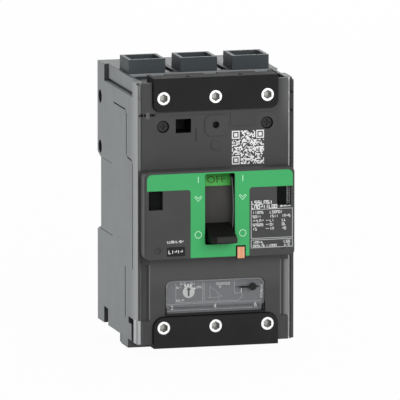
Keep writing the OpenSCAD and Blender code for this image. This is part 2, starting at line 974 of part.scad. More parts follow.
module cover_screws() {
    seat = cover_screw_seat;
    slot_half = [0.45, 1.7];
    slot_d = [seat + 0.6, seat + 2];
    color(BLACK)
        both_sides()
            difference() {
                union() {
                    rod_y(pole_pitch, [seat, seat + 1.6], cover_screw_z, cover_screw_d / 2);
                    rod_y(pole_pitch, [inner_front + 2, seat + join], cover_screw_z, cover_shank_r);
                }
                block(about(pole_pitch, slot_half[0]), slot_d, about(cover_screw_z, slot_half[1]));
                block(about(pole_pitch, slot_half[1]), slot_d, about(cover_screw_z, slot_half[0]));
            }
}

module mounting_inserts() {
    color("#c9a94a")
        both_ends()
            both_sides()
                difference() {
                    rod_y(part_x, [0, insert_len], mount_span / 2, insert_r);
                    rod_y(part_x, [-past, insert_len + past], mount_span / 2, mount_thread_d / 2);
                }
}

// Current path

module line_conductors() {
    color(COPPER)
        at_poles() {
            block(bar_span, [tab_d, tab_d + bar_t], [run_foot, lug_top - 0.5]);
            block(bar_span, [line_d, tab_d + bar_t], [run_foot, run_foot + bar_t]);
            block(bar_span, [line_d, line_d + bar_t], [bar_end, run_foot + bar_t]);
        }
}

module load_conductors() {
    jog = [-run_foot - bar_t, -run_foot];
    color(COPPER)
        at_poles() {
            block(bar_span, [tab_d, tab_d + bar_t], [-lug_top + 0.5, jog[1]]);
            block(bar_span, [load_d, tab_d + bar_t], jog);
            block(bar_span, [load_d, load_d + bar_t], [jog[0], -bar_end]);
        }
}

module fixed_contact_tips() {
    color(ZINC)
        at_poles() {
            block(tip_x, [line_d + bar_t, line_d + bar_t + fixed_tip_t], about(contact_r, tip_h / 2));
            block(tip_x, [load_d - fixed_tip_t, load_d], about(-contact_r, tip_h / 2));
        }
}

// Steel plates in a row from front to back, with a notch towards the contacts
module arc_plates(span) {
    pitch = 2.6;
    thick = 1;
    at_poles()
        for (d = [span[0] + 1:pitch:span[1] - 1 - thick])
            difference() {
                block([-plate_half, plate_half], [d, d + thick], [plate_foot, plate_top]);
                front_outline([d - past, d + thick + past])
                    polygon([[-4, plate_foot - past], [4, plate_foot - past], [0, plate_foot + 8]]);
            }
}

module upper_arc_plates() {
    color(STEEL)
        arc_plates(upper_chute);
}

module lower_arc_plates() {
    color(STEEL)
        mirror([0, 0, 1])
            arc_plates(lower_chute);
}

module arc_chute_walls() {
    wall_x = [chute_half - chute_wall_t, chute_half];
    color("#c8b48c")
        at_poles()
            both_sides() {
                block(wall_x, upper_chute, [chute_foot, chute_top]);
                block(wall_x, lower_chute, [-chute_top, -chute_foot]);
            }
}

module rotor() {
    color("#5b4636")
        at_rotor()
            difference() {
                union() {
                    rod_x([-pole_pitch - drum_half, pole_pitch + drum_half], [0, 0], journal_r);
                    at_poles()
                        rod_x([-drum_half, drum_half], [0, 0], rotor_r);
                    both_sides()
                        rotate([crank_tilt, 0, 0]) {
                            block(ear_x, [0, crank_r], about(0, ear_r - 0.3));
                            rod_x(ear_x, [crank_r, 0], ear_r);
                        }
                }
                at_poles() {
                    block(
                        about(0, bridge_w / 2 + 0.2),
                        about(0, bridge_t / 2 + easy_fit),
                        about(0, rotor_r + past)
                    );
                    rod_y(0, [0, rotor_r - spring_cap], 0, spring_mean_r + 0.6);
                }
                rotate([crank_tilt, 0, 0])
                    rod_x(about(0, ear_x[1] + past), [crank_r, 0], pin_r + press_fit);
            }
}

module contact_bridges() {
    color(COPPER)
        at_rotor()
            at_poles()
                block(about(0, bridge_w / 2), about(0, bridge_t / 2), about(0, bridge_reach));
}

module moving_contact_tips() {
    color(ZINC)
        at_rotor()
            at_poles() {
                block(tip_x, [-bridge_t / 2 - tip_t, -bridge_t / 2], about(contact_r, tip_h / 2));
                block(tip_x, [bridge_t / 2, bridge_t / 2 + tip_t], about(-contact_r, tip_h / 2));
            }
}

module contact_springs() {
    start = bridge_t / 2 + 0.2;
    color(STEEL)
        at_rotor()
            at_poles()
                translate([0, -start, 0])
                    rotate([90, 0, 0])
                        coil(rotor_r - spring_cap - 0.2 - start, spring_mean_r, 0.3, 4);
}

module rotor_bearings() {
    seat = journal_r + easy_fit;
    shoe_d = [rotor_d + 2, rotor_d + seat + 4];
    color("#d8d4c8")
        both_sides()
            difference() {
                block([part_in, part_in + partition_t], shoe_d, about(0, journal_r));
                rod_x([part_in - past, part_x + past], [rotor_d, 0], seat);
            }
}

module bimetals() {
    strip = [tab_d + bar_t, tab_d + bar_t + 1.7];
    foot = -run_foot - bar_t;
    color("#b9a58a")
        at_poles() {
            block([-3, 3], [strip[1] - 1, strip[1]], [foot, -28]);
            block([-3, 3], strip, [foot, foot + bar_t]);
        }
}

module magnet_yokes() {
    legs = [load_d - 2.2, load_d + 9.5];
    leg_x = [yoke_half - yoke_t, yoke_half];
    color(STEEL)
        at_poles() {
            block(about(0, yoke_half), [legs[0], load_d - gap], magnet_z);
            both_sides() {
                block(leg_x, legs, magnet_z);
                block(leg_x, [legs[1] - 3, armature_span[0] - 0.4], [armature_z[0] - 1, magnet_z[0] + join]);
            }
        }
}

module armature(pole) {
    color(STEEL)
        translate([pole * pole_pitch, 0, 0])
            block([-yoke_half, yoke_half], armature_span, armature_z);
}

// Switching mechanism

module mechanism_side_plates() {
    front = pivot_d + frame_ahead;
    foot_d = [frame_back + 2, frame_back + 6];
    color(STEEL)
        both_sides() {
            difference() {
                side_outline(plate_x)
                    polygon([
                        [-frame_back, frame_z[1]], [-front + frame_slope, frame_z[1]],
                        [-front, frame_z[1] - frame_slope], [-front, frame_z[0] + frame_slope],
                        [-front + 1.5 * frame_slope, frame_z[0]], [-frame_back, frame_z[0]]
                    ]);
                rod_x([0, part_x], [pivot_d, window_z], pivot_r + press_fit);
                rod_x([0, part_x], fixed_pin_at, pin_r + press_fit);
                rod_x([0, part_x], cradle_pin_at, pin_r + press_fit);
            }
            for (z = [frame_z[1] - frame_foot_t, frame_z[0]])
                block([plate_x[1] - join, part_in - fit], foot_d, [z, z + frame_foot_t]);
        }
}

module mechanism_pins() {
    color(ZINC) {
        both_sides() {
            rod_x([yoke_x[0] - 0.2, plate_x[1]], [pivot_d, window_z], pivot_r);
            rod_x([upper_link_x[0], plate_x[1]], fixed_pin_at, pin_r);
        }
        rod_x(about(0, plate_x[1]), cradle_pin_at, pin_r);
    }
}

module cradle() {
    nose = trip_at + [-0.5, trip_r + 0.5];
    eye = pin_r + 1.1;
    color(STEEL)
        difference() {
            side_outline([-cradle_half, cradle_half])
                polygon([
                    [-cradle_pin_at[0] + eye, cradle_pin_at[1] + eye],
                    [-cradle_pin_at[0] - eye, cradle_pin_at[1] + eye],
                    [-nose[0], 0], [-nose[0] - 2, nose[1] + 3], [-nose[0], nose[1]],
                    [-nose[0] + 3, nose[1] + 4], [-nose[0] + 5, 0],
                    [-cradle_pin_at[0] + eye, cradle_pin_at[1] - eye]
                ]);
            rod_x(about(0, part_x), cradle_pin_at, pin_r + press_fit);
        }
}

module lower_links() {
    color(STEEL)
        both_sides()
            link_plate(lower_link_x, crank_at, knee_at, link_half, pin_r + run_fit);
}

module upper_links() {
    color(STEEL)
        both_sides()
            link_plate(upper_link_x, fixed_pin_at, knee_at, link_half, pin_r + run_fit);
}

module crank_pin() {
    color(ZINC)
        rod_x(about(0, ear_x[1]), crank_at, pin_r);
}

module knee_pin() {
    color(ZINC)
        rod_x(about(0, upper_link_x[1]), knee_at, pin_r);
}

module handle_yoke() {
    arm = 4;
    wide = about(0, part_x);
    color(STEEL)
        at_handle(rest_tilt)
            difference() {
                union() {
                    both_sides() {
                        block(yoke_x, [0, yoke_reach], about(0, arm));
                        rod_x(yoke_x, [0, 0], arm + 0.5);
                    }
                    block(about(0, yoke_x[1]), [yoke_reach - 2.2, yoke_reach], about(0, arm));
                }
                rod_x(wide, [0, 0], pivot_r + run_fit);
                rod_x(wide, [anchor_reach, 0], anchor_r + press_fit);
                difference() {
                    block(wide, about(yoke_reach, arm), about(0, arm + past));
                    rod_x(wide, [0, 0], yoke_reach);
                }
            }
}

module spring_pin() {
    color(ZINC)
        rod_x(about(0, yoke_x[1]), anchor_at, anchor_r);
}

module main_spring() {
    run = anchor_at - knee_at;
    start = pin_r + 0.2;
    color(STEEL)
        translate([0, -knee_at[0], knee_at[1]])
            rotate([atan2(run[0], run[1]), 0, 0])
                translate([0, 0, start])
                    coil(norm(run) - start - anchor_r - 0.2, 1.85, 0.35, 9);
}

module toggle_shutter() {
    color("#424040")
        shutter_arc(shutter_half, [shutter_r - shutter_t, shutter_r], [-35 - swing, 33]);
}

module flag(span) {
    shutter_arc(window_w / 2 - 0.1, [shutter_r + press_fit, shutter_r + flag_t], span);
}

module off_flag() {
    color("#3c7a42")
        flag(flag_span);
}

module on_flag() {
    color("#b83a2c")
        flag([-flag_span[1] - swing, -flag_span[0] - swing]);
}

module toggle_lever() {
    root = shutter_r + run_fit;
    tip = -pivot_d - lever_reach;
    under = window_foot + 1.7;
    top_root = [-pivot_d - root * cos(14), window_z - root * sin(14)];
    foot_y = -pivot_d - root * cos(30);
    color(BLACK)
        difference() {
            side_outline(about(0, lever_w / 2))
                polygon([
                    top_root, [tip + 1.4, under + 3.4], [tip, under + 2.4],
                    [tip, under + 0.8], [tip + 0.9, under],
                    [foot_y, under], [foot_y + 3, under + 0.4], [top_root[0] + 2.5, top_root[1]]
                ]);
            rod_x(about(0, part_x), [pivot_d, window_z], root);
        }
}

// Tripping parts

module trip_bar() {
    finger_d = [trip_at[0] - finger_t - 0.6, trip_at[0] - 0.6];
    color("#e8e4d8") {
        rod_x(about(0, in_w - 0.4), trip_at, trip_r);
        block(about(button_x, arm_half), about(trip_at[0], arm_half), [trip_at[1], stem_z + 2]);
        at_poles()
            block(about(0, finger_half), finger_d, [trip_at[1] - finger_h, trip_at[1]]);
    }
}

module trip_button() {
    flange_d = [button_back, band_d - band_wall - gap];
    flange_z = [-band_half_h + band_wall + gap, button_z[1] + 0.9];
    color("#ec9f77") {
        block(about(button_x, button_w / 2), [button_back, band_d + 0.4], button_z);
        block(about(button_x, button_w / 2 + 0.8), flange_d, flange_z);
        rod_y(button_x, [trip_at[0] + arm_half + gap, button_back + join], stem_z, stem_r);
    }
}

module trip_button_spring() {
    color(STEEL)
        translate([button_x, -cover_d - 0.1, stem_z])
            rotate([90, 0, 0])
                coil(button_back - cover_d - 0.2, stem_r + 0.55, 0.25, 4);
}

// Settings panel, dial and flap

module settings_panel() {
    tray = about(0, settings_half + 1.4);
    cheek = [settings_half - 1.2, settings_half - 0.2];
    color("#75777a")
        difference() {
            union() {
                block(tray, panel_span, [settings_foot - 0.5, settings_top + 1.2]);
                both_sides()
                    block(cheek, [panel_span[1] - join, hinge_d + 1], about(hinge_z, 1.3));
            }
            rod_y(dial_x, widen(panel_span, past), dial_z, dial_d / 2 + 0.08);
            rod_x(tray, [hinge_d, hinge_z], hinge_pin_r + run_fit);
            rod_x(about(0, barrel_half + gap), [hinge_d, hinge_z], barrel_r + gap);
        }
}

module setting_dial() {
    front = panel_span[1] + 0.4;
    arrow_d = [front - 0.7, front + past];
    color("#c9cac8")
        difference() {
            union() {
                rod_y(dial_x, [panel_span[0] + 0.5, front], dial_z, dial_d / 2);
                rod_y(dial_x, [panel_span[0] - 4, panel_span[0] + 1], dial_z, 1.2);
            }
            block(about(dial_x, 0.45), arrow_d, [dial_z - 2.2, dial_z + 1.6]);
            front_outline(arrow_d)
                translate([dial_x, dial_z])
                    polygon([[-1.3, 0.9], [1.3, 0.9], [0, 2.5]]);
        }
}

module settings_flap() {
    edge = 0.5;
    neck = 2;
    leaf_z = [-settings_top + edge, -hinge_z - neck];
    barrel = about(0, barrel_half);
    color("#aab0b4") {
        mirror([0, 0, 1])
            front_outline([flap_back, cover_d])
                tongue(settings_half - edge, leaf_z, settings_corner_r - edge);
        block(barrel, [flap_back, cover_d], [hinge_z, hinge_z + neck + join]);
        rod_x(barrel, [hinge_d, hinge_z], barrel_r);
        rod_x(about(0, settings_half - gap), [hinge_d, hinge_z], hinge_pin_r);
    }
}

module seal_catch() {
    catch_x = settings_half - 6.6;
    catch_z = settings_top - 4.8;
    color(BLACK) {
        rod_y(catch_x, [cover_d, cover_d + 0.8], catch_z, 1.9);
        block([catch_x - 6.9, catch_x + 3.1], [cover_d, cover_d + 0.5], about(catch_z, 0.45));
    }
}

// Rail latch

module rail_latch() {
    color("#d9dadb")
        difference() {
            union() {
                block(about(0, latch_w / 2), hook_d, [latch_foot, latch_top]);
                block(about(0, latch_neck_w / 2), [0.6, hook_d[0] + join], [latch_foot, latch_foot + 16]);
            }
            block(about(0, 2.5), [-past, 3], [latch_foot + 4, latch_foot + 7]);
        }
}

module rail_latch_spring() {
    color(STEEL)
        translate([0, -(hook_d[0] + hook_d[1]) / 2 + 1, channel_end + 0.2])
            coil(latch_spring_len - 0.4, 1.6, 0.3, 5);
}

base();
front_cover();
fascia_band();
green_bezel();
accessory_shutters();
rating_plate();
upper_terminal_block();
lower_terminal_block();
line_terminal_screws();
load_terminal_screws();
line_collar(-1);  // line_collar_left
line_collar(0);  // line_collar_middle
line_collar(1);  // line_collar_right
load_collar(-1);  // load_collar_left
load_collar(0);  // load_collar_middle
load_collar(1);  // load_collar_right
line_lugs();
load_lugs();
clamp_pads();
cover_screws();
mounting_inserts();
line_conductors();
load_conductors();
fixed_contact_tips();
upper_arc_plates();
lower_arc_plates();
arc_chute_walls();
rotor_bearings();
bimetals();
magnet_yokes();
mechanism_side_plates();
mechanism_pins();
cradle();
settings_panel();
toggle_lever();
toggle_shutter();
off_flag();
on_flag();
handle_yoke();
spring_pin();
main_spring();
rotor();
contact_bridges();
moving_contact_tips();
contact_springs();
crank_pin();
lower_links();
upper_links();
knee_pin();
trip_bar();
trip_button();
trip_button_spring();
armature(-1);  // armature_left
armature(0);  // armature_middle
armature(1);  // armature_right
setting_dial();
settings_flap();
seal_catch();
rail_latch();
rail_latch_spring();
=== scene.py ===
"""Looks of a three-pole molded case circuit breaker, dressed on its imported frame, in metres."""
import json
import math
import random

import bmesh
import bpy
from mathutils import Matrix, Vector


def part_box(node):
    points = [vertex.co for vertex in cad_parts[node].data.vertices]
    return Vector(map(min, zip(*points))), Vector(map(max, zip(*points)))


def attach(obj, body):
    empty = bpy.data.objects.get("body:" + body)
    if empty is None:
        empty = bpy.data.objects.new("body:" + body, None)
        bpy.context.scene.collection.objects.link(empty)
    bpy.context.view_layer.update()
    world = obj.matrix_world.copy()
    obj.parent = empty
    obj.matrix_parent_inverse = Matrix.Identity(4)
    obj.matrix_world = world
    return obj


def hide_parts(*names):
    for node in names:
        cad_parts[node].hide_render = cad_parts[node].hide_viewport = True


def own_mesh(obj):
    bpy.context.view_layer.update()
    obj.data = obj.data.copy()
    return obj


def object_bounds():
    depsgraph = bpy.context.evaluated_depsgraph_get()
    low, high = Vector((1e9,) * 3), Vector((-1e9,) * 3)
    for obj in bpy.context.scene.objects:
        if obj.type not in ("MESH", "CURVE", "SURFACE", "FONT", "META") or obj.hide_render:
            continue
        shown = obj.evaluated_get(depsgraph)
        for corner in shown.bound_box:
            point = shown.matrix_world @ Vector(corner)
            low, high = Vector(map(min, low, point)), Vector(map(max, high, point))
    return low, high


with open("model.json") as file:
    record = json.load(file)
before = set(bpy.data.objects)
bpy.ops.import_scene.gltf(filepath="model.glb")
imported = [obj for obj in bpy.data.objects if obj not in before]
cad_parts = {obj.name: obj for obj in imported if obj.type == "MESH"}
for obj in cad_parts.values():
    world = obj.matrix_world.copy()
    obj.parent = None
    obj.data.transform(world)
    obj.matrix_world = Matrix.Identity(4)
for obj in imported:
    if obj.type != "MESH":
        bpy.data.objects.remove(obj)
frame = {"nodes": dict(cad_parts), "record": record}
cad_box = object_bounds()
scene = bpy.context.scene
MM = 0.001


# Colours and shader nodes

BEVEL_SAMPLES = 6


def srgb(red, green, blue):
    """Linear colour of an sRGB triple in 0 to 255."""
    def linear(value):
        value /= 255
        return value / 12.92 if value <= 0.04045 else ((value + 0.055) / 1.055) ** 2.4
    return (linear(red), linear(green), linear(blue), 1.0)


def scaled(colour, factor):
    """A colour made darker or lighter, at most white."""
    return tuple(min(1.0, c * factor) for c in colour[:3]) + (1.0,)


class Shader:
    """A material with one Principled shader and short calls for the nodes that feed it."""

    def __init__(self, name, colour, rough, specular, metallic=0.0):
        self.material = bpy.data.materials.new(name)
        self.material.use_nodes = True
        self.material.diffuse_color = colour
        self.tree = self.material.node_tree
        self.tree.nodes.clear()
        output = self.add("OutputMaterial")
        self.main = self.add("BsdfPrincipled")
        self.main.inputs["Base Color"].default_value = colour
        self.main.inputs["Roughness"].default_value = rough
        self.main.inputs["Metallic"].default_value = metallic
        self.main.inputs["Specular IOR Level"].default_value = specular
        self.link(self.main.outputs[0], output.inputs[0])
        self.place = self.add("TexCoord").outputs["Object"]
        apart = self.add("SeparateXYZ")
        self.link(self.place, apart.inputs[0])
        self.along = dict(zip("xyz", apart.outputs))

    def add(self, kind, **settings):
        made = self.tree.nodes.new("ShaderNode" + kind)
        for key, value in settings.items():
            setattr(made, key, value)
        return made

    def link(self, source, target):
        self.tree.links.new(source, target)

    def feed(self, name, source):
        """Links a socket to one of the main shader's inputs."""
        self.link(source, self.main.inputs[name])

    def noise(self, scale, detail, place=None):
        made = self.add("TexNoise")
        made.inputs["Scale"].default_value = scale
        made.inputs["Detail"].default_value = detail
        self.link(place or self.place, made.inputs["Vector"])
        return made.outputs["Fac"]

    def stretched(self, sizes):
        made = self.add("Mapping")
        made.inputs["Scale"].default_value = sizes
        self.link(self.place, made.inputs["Vector"])
        return made.outputs["Vector"]

    def spread(self, source, low, high, start=0.3, end=0.7):
        """Low to high as a source goes from start to end."""
        made = self.add("MapRange")
        for name, value in (("From Min", start), ("From Max", end), ("To Min", low), ("To Max", high)):
            made.inputs[name].default_value = value
        self.link(source, made.inputs["Value"])
        return made.outputs["Result"]

    def calc(self, operation, *values):
        made = self.add("Math", operation=operation)
        for socket, value in zip(made.inputs, values):
            if isinstance(value, (int, float)):
                socket.default_value = value
            else:
                self.link(value, socket)
        return made.outputs[0]

    def size_of(self, axis):
        return self.calc("ABSOLUTE", self.along[axis])

    def within(self, value, low, high):
        """1 where a value in metres lies in a range in mm."""
        return self.calc("COMPARE", value, (low + high) / 2 * MM, (high - low) / 2 * MM)

    def disc(self, across, height, radius):
        """1 within a radius in mm of a front to back line, from two pairs of a coordinate and its middle."""
        squares = []
        for value, middle in (across, height):
            squares.append(self.calc("POWER", self.calc("SUBTRACT", value, middle * MM), 2.0))
        return self.within(self.calc("SQRT", self.calc("ADD", *squares)), -1.0, radius)

    def between(self, amount, low, high):
        """Colour from low to high, each a colour or a socket, by an amount."""
        made = self.add("Mix", data_type="RGBA")
        self.link(amount, made.inputs[0])
        for index, value in ((6, low), (7, high)):
            if isinstance(value, tuple):
                made.inputs[index].default_value = value
            else:
                self.link(value, made.inputs[index])
        return made.outputs[2]

    def tinted(self, shown, patches):
        """A colour with patches laid over it in turn, each a place and a tint."""
        for place, tint in patches:
            shown = self.between(place(self), shown, tint)
        return shown

    def worn_and_lit_edges(self, radius, start, end):
        """0 on faces and 1 along sharp outer edges, from how far a rounded normal leans off the face; it
        masks both wear and a painted highlight.
        """
        rounded = self.add("Bevel", samples=BEVEL_SAMPLES)
        rounded.inputs["Radius"].default_value = radius
        lean = self.add("VectorMath", operation="DOT_PRODUCT")
        self.link(rounded.outputs["Normal"], lean.inputs[0])
        self.link(self.add("NewGeometry").outputs["True Normal"], lean.inputs[1])
        return rounded.outputs["Normal"], self.spread(lean.outputs["Value"], 1.0, 0.0, start, end)

    def bump(self, height, depth, normal=None):
        made = self.add("Bump")
        made.inputs["Strength"].default_value = 1.0
        made.inputs["Distance"].default_value = depth
        self.link(height, made.inputs["Height"])
        if normal:
            self.link(normal, made.inputs["Normal"])
        self.feed("Normal", made.outputs["Normal"])


# Kinds of finish, with the grain sizes of their noise

def moulded(name, colour, rough, specular, mottle, grain, edge, patches=()):
    """Moulded plastic: slow shifts of tone, a fine grain in mm, edges paler from rubbing and from a painted
    highlight, and tinted patches, most of them painted light and shade.
    """
    made = Shader(name, colour, rough, specular)
    normal, wear_and_highlight = made.worn_and_lit_edges(0.35 * MM, 0.72, 0.98)
    slow = made.noise(70, 3)
    specks = made.spread(made.noise(1900, 2), -0.12, 0.12)
    tone = made.spread(made.calc("ADD", slow, specks), 0.0, 1.0, 0.3, 0.75)
    plain = made.between(tone, scaled(colour, 1 - mottle), scaled(colour, 1 + mottle))
    scuffs = made.spread(made.noise(320, 4), 0.35, 1.0)
    # Edges paler: partly from rubbing, partly a painted highlight
    rubbed_and_highlit = made.between(made.calc("MULTIPLY", wear_and_highlight, scuffs), plain, scaled(colour, edge))
    made.feed("Base Color", made.tinted(rubbed_and_highlit, patches))
    made.feed("Roughness", made.spread(made.noise(900, 3), rough - 0.06, rough + 0.06))
    made.bump(made.noise(3200, 3), grain * MM, normal)
    return made.material


def plated(name, colour, rough, streak, stain=0.9, patches=()):
    """Metal with fine working marks along one way, a faint uneven film, edges a little paler as wear and a
    painted highlight, and tinted patches.
    """
    made = Shader(name, colour, rough, 0.5, metallic=1.0)
    normal, wear_and_highlight = made.worn_and_lit_edges(0.15 * MM, 0.8, 0.99)
    film = made.spread(made.noise(240, 4), 0.0, 1.0)
    plain = made.between(film, scaled(colour, stain), colour)
    # Edges a little paler: partly from rubbing, partly a painted highlight
    rubbed_and_highlit = made.between(wear_and_highlight, plain, scaled(colour, 1.08))
    made.feed("Base Color", made.tinted(rubbed_and_highlit, patches))
    working = made.noise(6, 3, made.stretched(streak))
    made.feed("Roughness", made.spread(working, rough - 0.08, rough + 0.1))
    made.bump(working, 0.006 * MM, normal)
    return made.material


def ink(name, colour, rough=0.5):
    """Pad print: nearly even, thinner in tiny pinholes."""
    made = Shader(name, colour, rough, 0.25)
    pinholes = made.noise(2600, 2)
    thin = made.spread(pinholes, 0.0, 1.0, 0.35, 0.6)
    made.feed("Base Color", made.between(thin, scaled(colour, 0.86), colour))
    made.feed("Roughness", made.spread(made.noise(700, 2), rough - 0.07, rough + 0.07))
    made.bump(pinholes, 0.008 * MM)
    return made.material


def clear(name, colour, alpha):
    """Smoked clear plastic with faint handling haze."""
    made = Shader(name, colour, 0.12, 0.5)
    made.main.inputs["Alpha"].default_value = alpha
    haze = made.noise(160, 4)
    made.feed("Base Color", made.between(made.spread(haze, 0.0, 1.0), scaled(colour, 0.93), colour))
    made.feed("Roughness", made.spread(haze, 0.08, 0.2))
    made.bump(made.noise(500, 2), 0.004 * MM)
    return made.material


# Places of tinted patches, most of them painted light and shade, measured in the frame's own millimetres

PITCH = 27.0
SCREW_Z = 58.4
COVER_SCREW_Z = 43.9
COLLAR_HALF = 7.7
FACE = (-80.1, -79.9)
FACE_SKIN = (-80.1, -79.95)
BELOW_FACE = (-79.95, -78)
RIM_FACE = (-81.4, -81.2)
TOP = 66.45
TOP_SKIN = (66.4, 66.6)
SIDE_SKIN = (40.3, 40.6)


def boxed(**ranges):
    """1 inside a box of the object's own space."""
    def place(made):
        amount = 1.0
        for axis, (low, high) in ranges.items():
            amount = made.calc("MULTIPLY", amount, made.within(made.along[axis], low, high))
        return amount
    return place


def mirrored(axis, low, high):
    """1 in a range on both sides of the middle plane."""
    return lambda made: made.within(made.size_of(axis), low, high)


def over(axis, level):
    return lambda made: made.calc("GREATER_THAN", made.along[axis], level * MM)


def away_from(axis, middle, least):
    """1 at least so far to either side of a level."""
    def place(made):
        distance = made.calc("ABSOLUTE", made.calc("SUBTRACT", made.along[axis], middle * MM))
        return made.calc("GREATER_THAN", distance, least * MM)
    return place


def ramp(axis, start, end, low=0.0, high=1.0):
    """Low to high from one level to another."""
    return lambda made: made.spread(made.along[axis], low, high, start * MM, end * MM)


def both(*places):
    """The product of several places."""
    def place(made):
        amount = places[0](made)
        for other in places[1:]:
            amount = made.calc("MULTIPLY", amount, other(made))
        return amount
    return place


def twins(across, **ranges):
    """1 inside two boxes that mirror each other left and right."""
    return both(mirrored("x", *across), boxed(**ranges))


def from_seam(made):
    """Distance across from the nearest seam between two poles: half a pitch in the middle of each pole."""
    return made.calc("ABSOLUTE", made.calc("SUBTRACT", made.size_of("x"), PITCH / 2 * MM))


def between_collar_walls(made):
    return made.within(from_seam(made), PITCH / 2 - COLLAR_HALF, PITCH / 2 + COLLAR_HALF)


def pole_round(radius):
    """1 round the axes of the six terminal screws."""
    return lambda made: made.disc((from_seam(made), PITCH / 2), (made.size_of("z"), SCREW_Z), radius)


def screw_socket(radius):
    return both(pole_round(radius), boxed(y=(-81.1, -72)))


def cover_screw(radius):
    """1 round the axes of the two cover screws."""
    return lambda made: made.disc((made.size_of("x"), PITCH), (made.along["z"], COVER_SCREW_Z), radius)


# Finishes, named after the record's material slots

DARK = srgb(70, 70, 70)

# Plain mouldings: colour, roughness, specular level, mottle, grain in mm and tone of the edges, which are
# paler for wear and for a painted highlight
MOULDINGS = {
    "black_plastic": (srgb(37, 37, 37), 0.62, 0.14, 0.08, 0.02, 1.5),
    "green_plastic": (srgb(63, 178, 104), 0.42, 0.3, 0.04, 0.012, 1.15),
    "flag_green": (srgb(80, 186, 80), 0.5, 0.25, 0.06, 0.01, 1.15),
    "flag_red": (srgb(186, 52, 42), 0.5, 0.25, 0.06, 0.01, 1.15),
    "fibre": (srgb(198, 178, 140), 0.75, 0.15, 0.14, 0.04, 1.08),
    "rotor_plastic": (srgb(96, 74, 56), 0.5, 0.3, 0.1, 0.025, 1.25),
    "light_plastic": (srgb(222, 222, 214), 0.48, 0.3, 0.03, 0.015, 1.06),
}
# Plain metals: colour, roughness, density of the working marks along x, y and z, and tone of the film
METALS = {
    "zinc_steel": (srgb(232, 234, 234), 0.3, (600, 600, 600), 0.94),
    "plain_steel": (srgb(176, 180, 182), 0.38, (300, 2500, 300)),
    "copper": (srgb(196, 124, 82), 0.32, (1800, 300, 300), 0.85),
    "brass": (srgb(202, 172, 96), 0.3, (900, 900, 300), 0.88),
    "spring_steel": (srgb(160, 163, 166), 0.3, (500, 500, 500)),
}
finishes = {name: moulded(name, *values) for name, values in MOULDINGS.items()}
finishes.update({name: plated(name, *values) for name, values in METALS.items()})
finishes["flap_clear"] = clear("flap_clear", srgb(140, 144, 146), 0.05)
finishes["collar_plastic"] = moulded(
    "collar_plastic", srgb(68, 74, 77), 0.5, 0.22, 0.07, 0.025, 2.6, patches=(
        # Painted shade on the inner walls
        (both(between_collar_walls, boxed(y=(-46.05, -31.95))), srgb(36, 39, 41)),
    ))

white_ink = ink("white_ink", srgb(240, 241, 241))
bright_ink = ink("bright_ink", srgb(254, 254, 254))
mint_ink = ink("mint_ink", srgb(190, 246, 208))
# Print ink, also used for the pale ridge beside the shutter as a painted highlight
soft_ink_and_highlight = ink("soft_ink_and_highlight", srgb(182, 185, 186))
faint_ink = ink("faint_ink", srgb(146, 149, 151))
olive_ink = ink("olive_ink", srgb(60, 92, 40))
black_ink = ink("black_ink", srgb(24, 25, 25))
# Pale line along the clear flap's edge, a painted highlight
flap_highlight_ink = ink("flap_highlight_ink", srgb(150, 153, 155), 0.3)
peach_ink = ink("peach_ink", srgb(250, 192, 152), 0.42)


# Finishes of single pieces

def front_of(node):
    """Plane of a node's foremost point, in mm."""
    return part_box(node)[0].y / MM


lever_tip = front_of("toggle_lever")
dial_front = front_of("setting_dial")

special = {}
special["base"] = moulded(
    "base_plastic", srgb(160, 164, 166), 0.55, 0.3, 0.05, 0.03, 1.2, patches=(
        # Sides with a painted highlight paler towards the cover, painted shade on the front of the foot, and
        # the pale lower left corner
        (ramp("y", -77.5, -66, 0.9, 0.0), srgb(198, 200, 201)),
        (boxed(y=(-62, -61), z=(-71.3, -66.4)), srgb(94, 95, 96)),
        (boxed(x=(-41, -38), y=(-80, -73), z=(-67, -54.5)), srgb(234, 236, 237)),
        # Painted shade on the top, more to the left, in front of the collars and beside the slots, and on the
        # slot walls
        (over("z", TOP), srgb(114, 117, 119)),
        (both(ramp("x", -40, 14, 0.9, 0.0), over("z", TOP)), srgb(90, 93, 95)),
        (boxed(y=(-50.7, -48.3), z=TOP_SKIN), srgb(70, 73, 75)),
        (boxed(x=(-12.1, -9.5), y=(-50.7, -6), z=TOP_SKIN), srgb(46, 49, 51)),
        (boxed(x=(14.9, 17.5), y=(-50.7, -6), z=TOP_SKIN), srgb(46, 49, 51)),
        (twins((11.9, 15.1), y=(-49, -5.9), z=(58, 66.42)), srgb(34, 36, 37)),
        # Painted shade on the floors of the side grooves, and hairlines
        (twins((39.4, 40.3), y=(-71, -32), z=(-57, 51)), srgb(62, 64, 66)),
        (twins(SIDE_SKIN, y=(-28.8, -10), z=(17.7, 18.1)), srgb(92, 94, 96)),
        (twins(SIDE_SKIN, y=(-30.2, -6.8), z=(-19.1, -18.6)), srgb(58, 60, 62)),
        # Painted shade in the side recesses above and below, in the side holes and in the chambers behind the
        # terminal blocks
        (twins((37.8, 38.3), y=(-71, -13), z=(57.5, 67)), srgb(48, 50, 52)),
        (twins((37.8, 40.4), y=(-13.7, -13.4), z=(57.5, 67)), srgb(70, 73, 76)),
        (twins((37.8, 40.3), y=(-73, -12), z=(-67, -54.5)), srgb(64, 65, 65)),
        (twins((34.4, 40.3), y=(-8.8, -1.6), z=(19.4, 52.4)), srgb(40, 41, 42)),
        (both(twins((-1, 37.05), y=(-78, -50.5)), mirrored("z", 50, 66.4)), srgb(26, 27, 27)),
    ))
